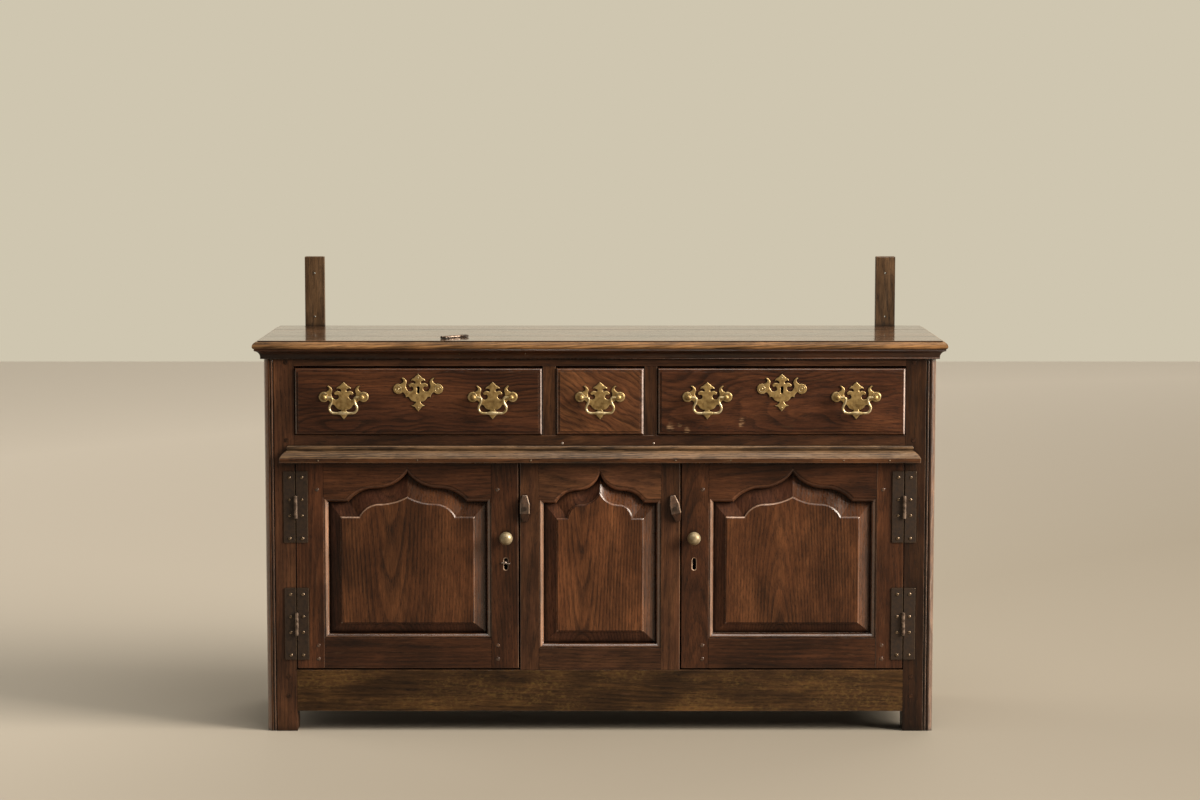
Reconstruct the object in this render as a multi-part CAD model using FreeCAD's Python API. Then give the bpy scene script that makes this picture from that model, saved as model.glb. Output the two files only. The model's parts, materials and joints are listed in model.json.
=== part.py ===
"""Oak dresser base: three drawers over two arched cupboard doors, with the stumps of a plate rack.

Millimetres. +X is the viewer's right, -Y the front, +Z up. The floor is Z = 0.
"""
import FreeCAD, Part
import math
import os
from FreeCAD import Vector as V

# Overall
TOP_WIDTH = 1500.0
TOP_DEPTH = 450.0
TOP_HEIGHT = 858.0
TOP_THICK = 18.0
OVERHANG = 22.0
KNOB_REACH = 31.0
BOARD_GAP = 0.8
TOP_JOINTS = (139.0, 327.0)
NOSE_STEP = 2.4
NOSE_FLAT = 11.0
NOSE_WIDEST = 12.0
NOSE_UNDER = 5.0

# Depth planes
DEPTH = TOP_DEPTH + KNOB_REACH - OVERHANG
BACK_EDGE = DEPTH / 2
NOSE = BACK_EDGE - TOP_DEPTH
FACE = NOSE + OVERHANG
UPRIGHT_THICK = 24.0
UPRIGHT_WIDTH = 44.0
UPRIGHT_CENTRE = 656.0
UPRIGHT_TOP = 1018.0
UPRIGHT_FOOT = 420.0
RACK_HOLE_R = 2.25
RACK_HOLES = (880.0, 980.0)
BACK_BOARD = 12.0
BACK_BOARDS = 8
BACK_INSET = 2.0
BACK_LOW = 62.0
BACK_FACE = BACK_EDGE - UPRIGHT_THICK
CASE_REAR = BACK_FACE - BACK_BOARD

# Frame
CASE_HALF = TOP_WIDTH / 2 - OVERHANG
CASE_TOP = TOP_HEIGHT - TOP_THICK
STILE_WIDTH = 66.0
STILE_DEPTH = 52.0
STILE_IN = CASE_HALF - STILE_WIDTH
CORNER_MOULD = 22.0
REAR_STILE = 44.0
REAR_STILE_DEPTH = 40.0
REAR_RAIL_THICK = 20.0
REAR_TENON_FRONT = 6.0
REAR_TOP_LOW = 780.0
REAR_APRON_LOW = 60.0
RAIL_THICK = 26.0
RAIL_REAR = FACE + RAIL_THICK
SIDE_THICK = 24.0
TENON_FRONT = 10.0
TENON_THICK = 8.0
TENON_LONG = 36.0
TENON_SHOULDER = 6.0
TENON_ROOT = 1.0
JOINT_PLAY = 0.2
OVERSHOOT = 5.0
PEG_R = 4.5
PEG_PROUD = 0.7
PEG_DEEP = 36.0
PEG_LEVELS = (78.0, 120.0, 641.0, 810.0)
APRON_LOW = 44.0
APRON_HIGH = 136.0
MIDDLE_LOW = 594.0
MIDDLE_HIGH = 652.0
TOP_RAIL_LOW = 802.0
SIDE_TOP_LOW = 764.0
MUNTIN_IN = 96.0
MUNTIN_OUT = 124.0

# Mouldings
COVE_HEIGHT = 22.0
COVE_REACH = 18.0
WAIST_LOW = 593.5
WAIST_HIGH = 629.0
WAIST_REACH = 21.0
WAIST_HALF = 694.0

# Arched panel work
STICKING = 10.3
STICKING_STEP = 1.0
STICKING_ROUND = 7.3
STICKING_DEEP = 8.6
PANEL_LOW = 14.5
PANEL_REAR = 20.0
BEVEL_TOP = 4.6
FIELD_FACE = 2.6
GROOVE = 8.0
GROOVE_PLAY = 0.5
ARCH_GROWTH = 0.5
RISE_GROWTH = 0.4
SIDE_MARGIN = 28.0

# Fixed middle bay
BAY_HALF = 174.0
BAY_STILE_FLAT = 41.0
BAY_RAIL_FLAT = 47.0
BAY_SHOULDER = 502.0
BAY_TENON = 24.0

# Doors
DOOR_IN = 177.5
DOOR_OUT = STILE_IN - 2.0
DOOR_LOW = 139.0
DOOR_HIGH = 591.0
DOOR_THICK = 24.0
DOOR_STILE_FLAT = 59.0
DOOR_RAIL_FLAT = 66.0
DOOR_SHOULDER = 505.0

# Hinges
HINGE_X = STILE_IN - 1.0
HINGE_Y = FACE - 4.6
HINGE_BANDS = ((417.0, 573.0), (159.0, 317.0))
LEAF_WIDTH = 26.0
LEAF_THICK = 2.4
LEAF_EDGE = 1.2
KNUCKLE_R = 4.0
KNUCKLE_LONG = 50.0
KNUCKLE_GAP = 0.4
PIN_R = 2.0
RUNNING_FIT = 0.08

# Turn-buttons, knobs and keyholes
BUTTON_X = 163.5
BUTTON_Z = 492.0
BUTTON_LONG = 58.0
BUTTON_WIDE = 21.0
BUTTON_TIP = 11.0
BUTTON_THICK = 10.0
BUTTON_THIN = 4.5
BUTTON_CLEAR = 0.4
BUTTON_TILT = {-1: 0.0, 1: -12.0}
SCREW_R = 2.5
SCREW_HEAD_R = 4.6
SCREW_HEAD = 2.0
SCREW_DEEP = 18.0
KNOB_X = 204.0
KNOB_Z = 428.0
KNOB_R = 14.4
KNOB_SHANK_R = 3.0
KNOB_SHANK = 16.0
KEYHOLE_X = 205.0
KEYHOLE_Z = 369.5
KEYHOLE_WIDE = 8.0
KEYHOLE_HIGH = 26.0

# Drawers
DRAWER_GAP = 1.5
DRAWER_LOW = 653.0
DRAWER_HIGH = 798.0
DRAWER_PROUD = 6.0
DRAWER_FRONT = 22.0
DRAWER_FACE = FACE - DRAWER_PROUD
DRAWER_EDGE = 7.6
DRAWER_ROUND = 5.2
DRAWER_FIELD = 1.6
DRAWER_SIDE = 10.0
DRAWER_SIDE_HIGH = 782.0
DRAWER_REAR = CASE_REAR - 28.0
DRAWER_BOTTOM = 8.0
DRAWER_BOTTOM_Z = 660.0
BOTTOM_GROOVE = 5.0
BOTTOM_TONGUE = 6.0
DRAWER_BACK_DROP = 8.0
BOX_PLAY = 2.0
TAIL_LONG = 14.0
TAIL_COUNT = 3
TAIL_FLARE = 3.0

# Bail handles
HANDLE_Z = 736.0
HANDLE_OFFSET = 161.0
ESCUTCHEON_RAISE = 17.5
PLATE_THICK = 1.8
POST_X = 40.5
POST_REACH = 16.0
POST_BALL = 5.6
POST_NECK = 3.8
POST_COLLAR = 6.4
POST_SHANK = 2.6
POST_COLLAR_HIGH = 2.4
POST_WALL = 1.5
BAIL_R = 2.6
BAIL_GRIP = 4.2
NUT_R = 6.5
NUT_THICK = 4.0
DRAWER_BOLT_TRAVEL = 9.0

# Inside
FLOOR_TOP = 144.0
FLOOR_THICK = 14.0
BEARER = 20.0
BEARER_HIGH = 24.0
SHELF_Z = 350.0
SHELF_THICK = 16.0
SHELF_FRONT = FACE + 80.0
BOARD_PLAY = 1.0
FLOOR_BOARDS = 3
RUNNER_HIGH = 22.0
RUNNER_REACH = 12.0
GUIDE_HIGH = 44.0
INSIDE = CASE_HALF - SIDE_THICK

# Key
KEY_X = -318.0
KEY_Y = -130.0
KEY_TURN = 43.0
KEY_LONG = 75.0
KEY_SHAFT_R = 2.8
KEY_BOW_R = 9.0
KEY_WIRE_R = 2.2
KEY_CLEAR = 0.1


def box(x0, x1, y0, y1, z0, z1):
    return Part.makeBox(x1 - x0, y1 - y0, z1 - z0, V(x0, y0, z0))


def rod(radius, start, end):
    """Round bar between two points."""
    run = end.sub(start)
    return Part.makeCylinder(radius, run.Length, start, run)


def mirrored(shape):
    """The same piece on the other side of the middle plane X = 0."""
    return shape.mirror(V(0, 0, 0), V(1, 0, 0))


def prism(wire, run):
    return Part.Face(wire).extrude(run)


def outline(start, steps):
    """Closed wire from a start point; a step is one point for a line or two (through, end) for an arc."""
    edges = []
    here = start
    for step in steps:
        if isinstance(step, tuple):
            edges.append(Part.Arc(here, step[0], step[1]).toShape())
            here = step[1]
        else:
            edges.append(Part.LineSegment(here, step).toShape())
            here = step
    return Part.Wire(edges)


def save(node, shapes):
    """Write one node: a single solid, or a group of separate solids."""
    pieces = shapes if isinstance(shapes, list) else [shapes]
    shape = pieces[0] if len(pieces) == 1 else Part.makeCompound(pieces)
    shape.exportStep("parts/" + node + ".step")


def cut_all(shape, tools):
    for tool in tools:
        shape = shape.cut(tool)
    return shape


# Front frame joints: a tenon box on each rail end and the same box, a little larger, as its mortise

def tenon(x0, x1, z0, z1, play=0.0):
    y0 = FACE + TENON_FRONT
    return box(x0 - play, x1 + play, y0 - play, y0 + TENON_THICK + play, z0 - play, z1 + play)


def rail_tenon(low, high, play=0.0):
    """Tenon on the right end of a front rail."""
    return tenon(STILE_IN - TENON_ROOT, STILE_IN + TENON_LONG,
                 low + TENON_SHOULDER, high - TENON_SHOULDER, play)


FRONT_RAILS = {
    "front_top_rail": (TOP_RAIL_LOW, CASE_TOP),
    "front_middle_rail": (MIDDLE_LOW, MIDDLE_HIGH),
    "front_bottom_rail": (APRON_LOW, APRON_HIGH),
}


def peg_places():
    """Centres (X, Z) of the pegs through the right-hand front joints, clear of the mouldings."""
    x = STILE_IN + TENON_LONG / 2
    return [(x, z) for z in PEG_LEVELS]


def peg(x, z, radius=PEG_R):
    return rod(radius, V(x, FACE - PEG_PROUD, z), V(x, FACE + PEG_DEEP, z))


def both_pegs(radius):
    return [peg(side * x, z, radius) for side in (-1, 1) for x, z in peg_places()]


def front_stile():
    """Right front stile in plan: flat face, quirk, bead, quirk and a quarter round at the outer corner."""
    flat = CASE_HALF - CORNER_MOULD
    quirk = 2.0
    bead = 5.0
    deep = 4.0
    shallow = 1.0
    round_start = flat + quirk + bead + quirk
    round_r = CASE_HALF - round_start
    diag = round_r * math.sqrt(0.5)
    bead_x = flat + quirk + bead / 2
    centre_y = FACE + shallow + round_r
    wire = outline(V(STILE_IN, FACE, 0), [
        V(flat, FACE, 0),
        V(flat, FACE + deep, 0),
        V(flat + quirk, FACE + deep, 0),
        (V(bead_x, FACE + shallow, 0), V(flat + quirk + bead, FACE + deep, 0)),
        V(round_start, FACE + deep, 0),
        V(round_start, FACE + shallow, 0),
        (V(round_start + diag, centre_y - diag, 0), V(CASE_HALF, centre_y, 0)),
        V(CASE_HALF, FACE + STILE_DEPTH, 0),
        V(STILE_IN, FACE + STILE_DEPTH, 0),
        V(STILE_IN, FACE, 0),
    ])
    stile = prism(wire, V(0, 0, CASE_TOP))
    mortises = [rail_tenon(low, high, JOINT_PLAY) for low, high in FRONT_RAILS.values()]
    mortises += [side_tenon(low, high, front=True, play=JOINT_PLAY) for low, high in SIDE_RAILS]
    mortises += [side_groove(low, high) for low, high in SIDE_OPENINGS]
    mortises += [peg(x, z, PEG_R + JOINT_PLAY) for x, z in peg_places()]
    return cut_all(stile, mortises)


def front_rail(low, high):
    rail = box(-STILE_IN, STILE_IN, FACE, RAIL_REAR, low, high)
    right = rail_tenon(low, high)
    rail = rail.fuse(right).fuse(mirrored(right))
    return cut_all(rail.removeSplitter(), both_pegs(PEG_R + JOINT_PLAY))


def upright_tenon(x0, x1, z, play=0.0):
    """Tenon of a front upright where it enters a rail at height z, upwards or downwards alike."""
    depth = 14.0
    inset = 5.0
    return tenon(x0 + inset, x1 - inset, z - depth, z + depth, play)


def front_top_rail():
    rail = front_rail(*FRONT_RAILS["front_top_rail"])
    for side in (-1, 1):
        x0, x1 = sorted((side * MUNTIN_IN, side * MUNTIN_OUT))
        rail = rail.cut(upright_tenon(x0, x1, TOP_RAIL_LOW, JOINT_PLAY))
        rail = rail.cut(drawer_bolt_pocket(side))
    return rail


def front_middle_rail():
    rail = front_rail(*FRONT_RAILS["front_middle_rail"])
    for side in (-1, 1):
        x0, x1 = sorted((side * MUNTIN_IN, side * MUNTIN_OUT))
        rail = rail.cut(upright_tenon(x0, x1, MIDDLE_HIGH, JOINT_PLAY))
        x0, x1 = bay_stile_span(side)
        rail = rail.cut(upright_tenon(x0, x1, MIDDLE_LOW, JOINT_PLAY))
    return rail


def front_bottom_rail():
    rail = front_rail(*FRONT_RAILS["front_bottom_rail"])
    for side in (-1, 1):
        x0, x1 = bay_stile_span(side)
        rail = rail.cut(upright_tenon(x0, x1, APRON_HIGH, JOINT_PLAY))
    return rail


def drawer_muntin(side):
    x0, x1 = sorted((side * MUNTIN_IN, side * MUNTIN_OUT))
    post = box(x0, x1, FACE, RAIL_REAR, MIDDLE_HIGH, TOP_RAIL_LOW)
    post = post.fuse(upright_tenon(x0, x1, MIDDLE_HIGH)).fuse(upright_tenon(x0, x1, TOP_RAIL_LOW))
    return post.removeSplitter()


# Sides

SIDE_RAILS = ((SIDE_TOP_LOW, CASE_TOP), (MIDDLE_LOW, MIDDLE_HIGH), (APRON_LOW, APRON_HIGH))
SIDE_OPENINGS = ((MIDDLE_HIGH, SIDE_TOP_LOW), (APRON_HIGH, MIDDLE_LOW))
SIDE_FRONT = FACE + STILE_DEPTH
SIDE_REAR = CASE_REAR - REAR_STILE_DEPTH


def side_tenon(low, high, front, play=0.0):
    """Tenon of a right side rail, at its front or its rear end."""
    x1 = CASE_HALF - TENON_FRONT
    x0 = x1 - TENON_THICK
    long = TENON_LONG / 2
    y0 = SIDE_FRONT - long if front else SIDE_REAR - TENON_ROOT
    y1 = SIDE_FRONT + TENON_ROOT if front else SIDE_REAR + long
    z0 = low + TENON_SHOULDER
    z1 = high - TENON_SHOULDER
    return box(x0 - play, x1 + play, y0 - play, y1 + play, z0 - play, z1 + play)


def side_groove(low, high):
    """Groove round a side opening for the panel's tongue."""
    x0 = CASE_HALF - PANEL_REAR - GROOVE_PLAY / 2
    x1 = CASE_HALF - PANEL_LOW + GROOVE_PLAY / 2
    return box(x0, x1, SIDE_FRONT - GROOVE, SIDE_REAR + GROOVE, low - GROOVE, high + GROOVE)


def side_rail(low, high):
    rail = box(INSIDE, CASE_HALF, SIDE_FRONT, SIDE_REAR, low, high)
    rail = rail.fuse(side_tenon(low, high, True)).fuse(side_tenon(low, high, False)).removeSplitter()
    return cut_all(rail, [side_groove(*opening) for opening in SIDE_OPENINGS])


def rear_stile():
    """Right rear stile, to the floor as the back foot."""
    stile = box(CASE_HALF - REAR_STILE, CASE_HALF, SIDE_REAR, CASE_REAR, 0, CASE_TOP)
    mortises = [side_tenon(low, high, front=False, play=JOINT_PLAY) for low, high in SIDE_RAILS]
    mortises += [side_groove(low, high) for low, high in SIDE_OPENINGS]
    mortises += [rear_tenon(low, high, JOINT_PLAY) for low, high in REAR_RAILS]
    return cut_all(stile, mortises)


REAR_RAILS = ((REAR_TOP_LOW, CASE_TOP), (MIDDLE_LOW, MIDDLE_HIGH), (REAR_APRON_LOW, APRON_HIGH))
REAR_RAIL_FRONT = CASE_REAR - REAR_RAIL_THICK


def rear_tenon(low, high, play=0.0):
    x0 = CASE_HALF - REAR_STILE - TENON_ROOT
    x1 = CASE_HALF - REAR_STILE + TENON_LONG / 2
    y0 = REAR_RAIL_FRONT + REAR_TENON_FRONT
    return box(x0, x1 + play, y0 - play, y0 + TENON_THICK + play,
               low + TENON_SHOULDER - play, high - TENON_SHOULDER + play)


def rear_rail(low, high):
    half = CASE_HALF - REAR_STILE
    rail = box(-half, half, REAR_RAIL_FRONT, CASE_REAR, low, high)
    right = rear_tenon(low, high)
    return rail.fuse(right).fuse(mirrored(right)).removeSplitter()


def side_panel(low, high):
    """Rectangular fielded panel, drawn facing -Y at the origin and turned to face +X."""
    centre = (SIDE_FRONT + SIDE_REAR) / 2
    half = (SIDE_REAR - SIDE_FRONT) / 2
    margin = min(SIDE_MARGIN, (high - low) / 4)
    sight = rectangle(centre, half - JOINT_PLAY, low + JOINT_PLAY, high - JOINT_PLAY)
    tongue_half = half + GROOVE - GROOVE_PLAY
    tongue = rectangle(centre, tongue_half, low - GROOVE + GROOVE_PLAY, high + GROOVE - GROOVE_PLAY)
    field = rectangle(centre, half - margin, low + margin, high - margin)
    panel = fielded_panel(tongue, sight, field, 0.0)
    panel.rotate(V(0, 0, 0), V(0, 0, 1), 90)
    panel.translate(V(CASE_HALF, 0, 0))
    return panel


def back_boards():
    half = CASE_HALF - BACK_INSET
    wide = 2 * half / BACK_BOARDS
    boards = []
    for i in range(BACK_BOARDS):
        x0 = -half + i * wide
        boards.append(box(x0, x0 + wide - BOARD_GAP, CASE_REAR, BACK_FACE,
                          BACK_LOW, CASE_TOP - BACK_INSET))
    return boards


# Panel work shared by the doors, the middle bay and the sides

def rectangle(centre, half, low, high):
    return [(centre - half, low), (centre + half, low), (centre + half, high), (centre - half, high)]


def polygon_wire(points, y):
    corners = [V(x, y, z) for x, z in points]
    return Part.makePolygon(corners + [corners[0]])


def arc_between(angle0, angle1, cx, cz, radius):
    """Through point and end point of an arc in the XZ plane, angles in radians."""
    middle = (angle0 + angle1) / 2
    through = (cx + radius * math.cos(middle), cz + radius * math.sin(middle))
    end = (cx + radius * math.cos(angle1), cz + radius * math.sin(angle1))
    return through, end


def ogee_wire(arch, y):
    """Closed wire of an arched outline at depth y: shoulders, then two arcs a side, level where they meet."""
    foot = arch["arch_half"] - arch["bend_x"]
    up = arch["bend_z"]
    lower_r = (foot ** 2 + up ** 2) / (2 * up)
    climb = arch["rise"] - up
    upper_r = (arch["bend_x"] ** 2 + climb ** 2) / (2 * climb)
    foot_angle = math.atan2(lower_r - up, foot)
    lower = arc_between(foot_angle, math.pi / 2, arch["bend_x"], up - lower_r, lower_r)
    tip_angle = math.atan2(climb - upper_r, -arch["bend_x"])
    upper = arc_between(-math.pi / 2, tip_angle, arch["bend_x"], up + upper_r, upper_r)

    def place(side, point):
        return V(arch["centre"] + side * point[0], y, arch["shoulder"] + point[1])

    below = arch["bottom"] - arch["shoulder"]
    bend = (arch["bend_x"], up)
    tip = place(1, (0.0, arch["rise"]))
    return outline(place(-1, (arch["half"], below)), [
        place(1, (arch["half"], below)),
        place(1, (arch["half"], 0.0)),
        place(1, (arch["arch_half"], 0.0)),
        (place(1, lower[0]), place(1, bend)),
        (place(1, upper[0]), tip),
        (place(-1, upper[0]), place(-1, bend)),
        (place(-1, lower[0]), place(-1, (arch["arch_half"], 0.0))),
        place(-1, (arch["half"], 0.0)),
        place(-1, (arch["half"], below)),
    ])


def outline_wire(shape, y):
    return ogee_wire(shape, y) if isinstance(shape, dict) else polygon_wire(shape, y)


def fielded_panel(tongue, sight, field, face):
    """Tongue in the groove, bevel from the sight line and a raised field, facing -Y at depth face."""
    plate = prism(outline_wire(tongue, face + PANEL_LOW), V(0, PANEL_REAR - PANEL_LOW, 0))
    low = outline_wire(sight, face + PANEL_LOW)
    high = outline_wire(field, face + BEVEL_TOP)
    bevel = Part.makeLoft([low, high], True, True)
    raised = prism(outline_wire(field, face + FIELD_FACE), V(0, BEVEL_TOP - FIELD_FACE, 0))
    return plate.fuse(bevel).fuse(raised).removeSplitter()


def grown(arch, margin):
    """An arched outline pushed out by a margin; its arch grows less, so that the curves stay apart evenly."""
    bigger = dict(arch)
    bigger["half"] += margin
    bigger["bottom"] -= margin
    bigger["shoulder"] += margin
    bigger["arch_half"] += margin * ARCH_GROWTH
    bigger["rise"] += margin * RISE_GROWTH
    return bigger


def sticking_profile(corner, inward):
    """Moulded inner edge to cut away: corner is on the sight line, inward points into the opening."""
    quirk_outer = 8.5
    quirk_deep = 3.2
    round_top = 1.6
    past = 1.0

    def at(u, w):
        return corner.add(V(inward).multiply(-u)).add(V(0, FACE + w, 0))

    return outline(at(-past, -past), [
        at(STICKING, -past),
        at(STICKING, STICKING_STEP),
        at(quirk_outer, STICKING_STEP),
        at(quirk_outer, quirk_deep),
        at(STICKING_ROUND, quirk_deep),
        at(STICKING_ROUND, round_top),
        (at(STICKING_ROUND * 0.4, STICKING_DEEP * 0.465), at(0, STICKING_DEEP)),
        at(-past, STICKING_DEEP),
        at(-past, -past),
    ])


def sticking(sight):
    """Moulding runs along both sides and the bottom of an opening, mitred at the lower corners."""
    left = sight["centre"] - sight["half"]
    right = sight["centre"] + sight["half"]
    low = sight["bottom"]
    high = sight["shoulder"]
    runs = []
    for x, inward in ((left, V(1, 0, 0)), (right, V(-1, 0, 0))):
        wire = sticking_profile(V(x, 0, low - STICKING), inward)
        run = prism(wire, V(0, 0, high - low + STICKING))
        outer = x - inward.x * STICKING
        mitre = [(x + inward.x, low + 1), (outer, low - STICKING), (outer, high), (x + inward.x, high)]
        runs.append(run.common(prism(polygon_wire(mitre, FACE - OVERSHOOT), V(0, DOOR_THICK, 0))))
    wire = sticking_profile(V(left - STICKING, 0, low), V(0, 0, 1))
    run = prism(wire, V(right - left + 2 * STICKING, 0, 0))
    mitre = [(left - STICKING, low - STICKING), (right + STICKING, low - STICKING),
             (right - 1, low + 1), (left + 1, low + 1)]
    runs.append(run.common(prism(polygon_wire(mitre, FACE - OVERSHOOT), V(0, DOOR_THICK, 0))))
    return runs


def arch_sticking(sight, high):
    """The same step with a hollow chamfer to cut along the shoulders and the arch, over the side runs."""
    bend = grown(sight, STICKING_ROUND * 0.45)
    bend_y = FACE + STICKING_DEEP * 0.3
    step_y = FACE + STICKING_STEP
    overlap = 0.01
    half = sight["half"] + STICKING
    above = box(sight["centre"] - half, sight["centre"] + half, FACE - OVERSHOOT, FACE + DOOR_THICK,
                sight["shoulder"], high)
    step = prism(ogee_wire(grown(sight, STICKING), FACE - OVERSHOOT), V(0, OVERSHOOT + STICKING_STEP, 0))
    outer = ogee_wire(grown(sight, STICKING_ROUND), step_y - overlap)
    upper = Part.makeLoft([outer, ogee_wire(bend, bend_y)], True, True)
    lower = Part.makeLoft([ogee_wire(bend, bend_y), ogee_wire(sight, FACE + STICKING_DEEP)], True, True)
    return [tool.common(above) for tool in (step, upper, lower)]


def framed_blank(x0, x1, low, high, thick, sight):
    """Frame of stiles and rails as one blank, with opening, groove and moulded edge already cut."""
    blank = box(x0, x1, FACE, FACE + thick, low, high)
    through = prism(ogee_wire(sight, FACE - OVERSHOOT), V(0, thick + 2 * OVERSHOOT, 0))
    groove_y = FACE + PANEL_LOW - GROOVE_PLAY / 2
    groove = prism(ogee_wire(grown(sight, GROOVE), groove_y), V(0, PANEL_REAR - PANEL_LOW + GROOVE_PLAY, 0))
    return cut_all(blank, [through, groove] + sticking(sight) + arch_sticking(sight, high))


def stile_region(x_edge, sight, low, high, side, rail_top):
    """What of a framed blank belongs to one stile: the flat, and its moulded edge down to the mitre."""
    sight_x = sight["centre"] + side * sight["half"]
    flat_x = sight_x + side * STICKING
    points = [(x_edge, low), (flat_x, low), (flat_x, rail_top), (sight_x, rail_top + STICKING),
              (sight_x, sight["shoulder"]), (flat_x, sight["shoulder"]), (flat_x, high), (x_edge, high)]
    return prism(polygon_wire(points, FACE - OVERSHOOT), V(0, STILE_DEPTH, 0))


def rail_region(sight, low, high):
    left = sight["centre"] - sight["half"] - STICKING
    right = sight["centre"] + sight["half"] + STICKING
    return box(left, right, FACE - OVERSHOOT, FACE + STILE_DEPTH, low, high)


def framed_tenon(sight, side, low, high, long, play=0.0):
    """Tenon of a framed rail into the stile on the given side."""
    flat_x = sight["centre"] + side * (sight["half"] + STICKING)
    x0, x1 = sorted((flat_x - side * TENON_ROOT, flat_x + side * long))
    return tenon(x0, x1, low + TENON_SHOULDER, high - TENON_SHOULDER, play)


def framed_set(x0, x1, low, high, thick, sight, rail_flat, tenon_long):
    """Left stile, right stile, bottom rail and arched rail of one arched frame, mortised and tenoned."""
    blank = framed_blank(x0, x1, low, high, thick, sight)
    rail_top = low + rail_flat
    rail_bands = ((low, rail_top), (sight["shoulder"], high))
    stiles = []
    regions = []
    for side, edge in ((-1, x0), (1, x1)):
        region = stile_region(edge, sight, low, high, side, rail_top)
        regions.append(region)
        mortises = [framed_tenon(sight, side, z0, z1, tenon_long, JOINT_PLAY) for z0, z1 in rail_bands]
        stiles.append(cut_all(blank.common(region), mortises))
    rails = []
    for z0, z1 in rail_bands:
        rail = cut_all(blank.common(rail_region(sight, z0, z1 + STICKING)), regions)
        for side in (-1, 1):
            rail = rail.fuse(framed_tenon(sight, side, z0, z1, tenon_long))
        rails.append(rail.removeSplitter())
    return stiles + rails


def arched_panel(sight, field):
    tongue = grown(sight, GROOVE - GROOVE_PLAY)
    return fielded_panel(tongue, grown(sight, -JOINT_PLAY), field, FACE)


# Fixed middle bay

BAY_SIGHT = dict(centre=0.0, half=BAY_HALF - BAY_STILE_FLAT - STICKING,
                 bottom=APRON_HIGH + BAY_RAIL_FLAT + STICKING, shoulder=BAY_SHOULDER,
                 arch_half=95.0, bend_x=50.0, bend_z=27.0, rise=65.0)
BAY_FIELD = dict(centre=0.0, half=95.0, bottom=220.0, shoulder=470.0,
                 arch_half=71.0, bend_x=40.0, bend_z=30.0, rise=60.0)


def bay_stile_span(side):
    return sorted((side * (BAY_HALF - BAY_STILE_FLAT), side * BAY_HALF))


def middle_bay():
    """Stiles, arched rail, bottom rail and panel between the doors.

    A stile's own end tenons run down past its mortises, so these are cut once more.
    """
    left, right, bottom, arched = framed_set(-BAY_HALF, BAY_HALF, APRON_HIGH, MIDDLE_LOW, RAIL_THICK,
                                             BAY_SIGHT, BAY_RAIL_FLAT, BAY_TENON)
    stiles = []
    for side, stile in ((-1, left), (1, right)):
        x0, x1 = bay_stile_span(side)
        stile = stile.fuse(upright_tenon(x0, x1, MIDDLE_LOW)).fuse(upright_tenon(x0, x1, APRON_HIGH))
        screw_hole = rod(SCREW_R + JOINT_PLAY, V(side * BUTTON_X, FACE - OVERSHOOT, BUTTON_Z),
                         V(side * BUTTON_X, FACE + SCREW_DEEP + 2, BUTTON_Z))
        rail_bands = ((APRON_HIGH, APRON_HIGH + BAY_RAIL_FLAT), (BAY_SHOULDER, MIDDLE_LOW))
        mortises = [framed_tenon(BAY_SIGHT, side, z0, z1, BAY_TENON, JOINT_PLAY) for z0, z1 in rail_bands]
        stiles.append(cut_all(stile.removeSplitter(), mortises + [screw_hole]))
    save("middle_bay_stiles", stiles)
    save("middle_bay_rails", [bottom, arched])
    save("middle_bay_panel", arched_panel(BAY_SIGHT, BAY_FIELD))


# Doors, drawn for the right side; the left door is the mirror image

DOOR_CENTRE = (DOOR_IN + DOOR_OUT) / 2
DOOR_SIGHT = dict(centre=DOOR_CENTRE, half=(DOOR_OUT - DOOR_IN) / 2 - DOOR_STILE_FLAT - STICKING,
                  bottom=DOOR_LOW + DOOR_RAIL_FLAT + STICKING, shoulder=DOOR_SHOULDER,
                  arch_half=128.0, bend_x=70.0, bend_z=29.0, rise=64.0)
DOOR_FIELD = dict(centre=DOOR_CENTRE, half=146.0, bottom=238.0, shoulder=473.5,
                  arch_half=105.0, bend_x=60.0, bend_z=28.0, rise=44.0)


def keyhole(x, z, wide, high, y0, y1):
    """Upright slot with round ends."""
    half = (high - wide) / 2
    r = wide / 2
    wire = outline(V(x - r, y0, z - half), [
        (V(x, y0, z - half - r), V(x + r, y0, z - half)),
        V(x + r, y0, z + half),
        (V(x, y0, z + half + r), V(x - r, y0, z + half)),
        V(x - r, y0, z - half),
    ])
    return prism(wire, V(0, y1 - y0, 0))


def door_pieces():
    lock_stile, hinge_stile, bottom, arched = framed_set(DOOR_IN, DOOR_OUT, DOOR_LOW, DOOR_HIGH, DOOR_THICK,
                                                         DOOR_SIGHT, DOOR_RAIL_FLAT, TENON_LONG)
    slot = keyhole(KEYHOLE_X, KEYHOLE_Z, KEYHOLE_WIDE, KEYHOLE_HIGH,
                   FACE - OVERSHOOT, FACE + DOOR_THICK + OVERSHOOT)
    lock_stile = lock_stile.cut(slot).cut(knob_hole())
    return {
        "stiles": [lock_stile, hinge_stile],
        "bottom_rail": bottom,
        "arched_rail": arched,
        "panel": arched_panel(DOOR_SIGHT, DOOR_FIELD),
        "hinge_leaves": [hinge_leaf(band, -1) for band in HINGE_BANDS],
        "knob": knob(),
        "lock": door_lock(),
        "lock_bolt": door_bolt(),
    }


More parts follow.
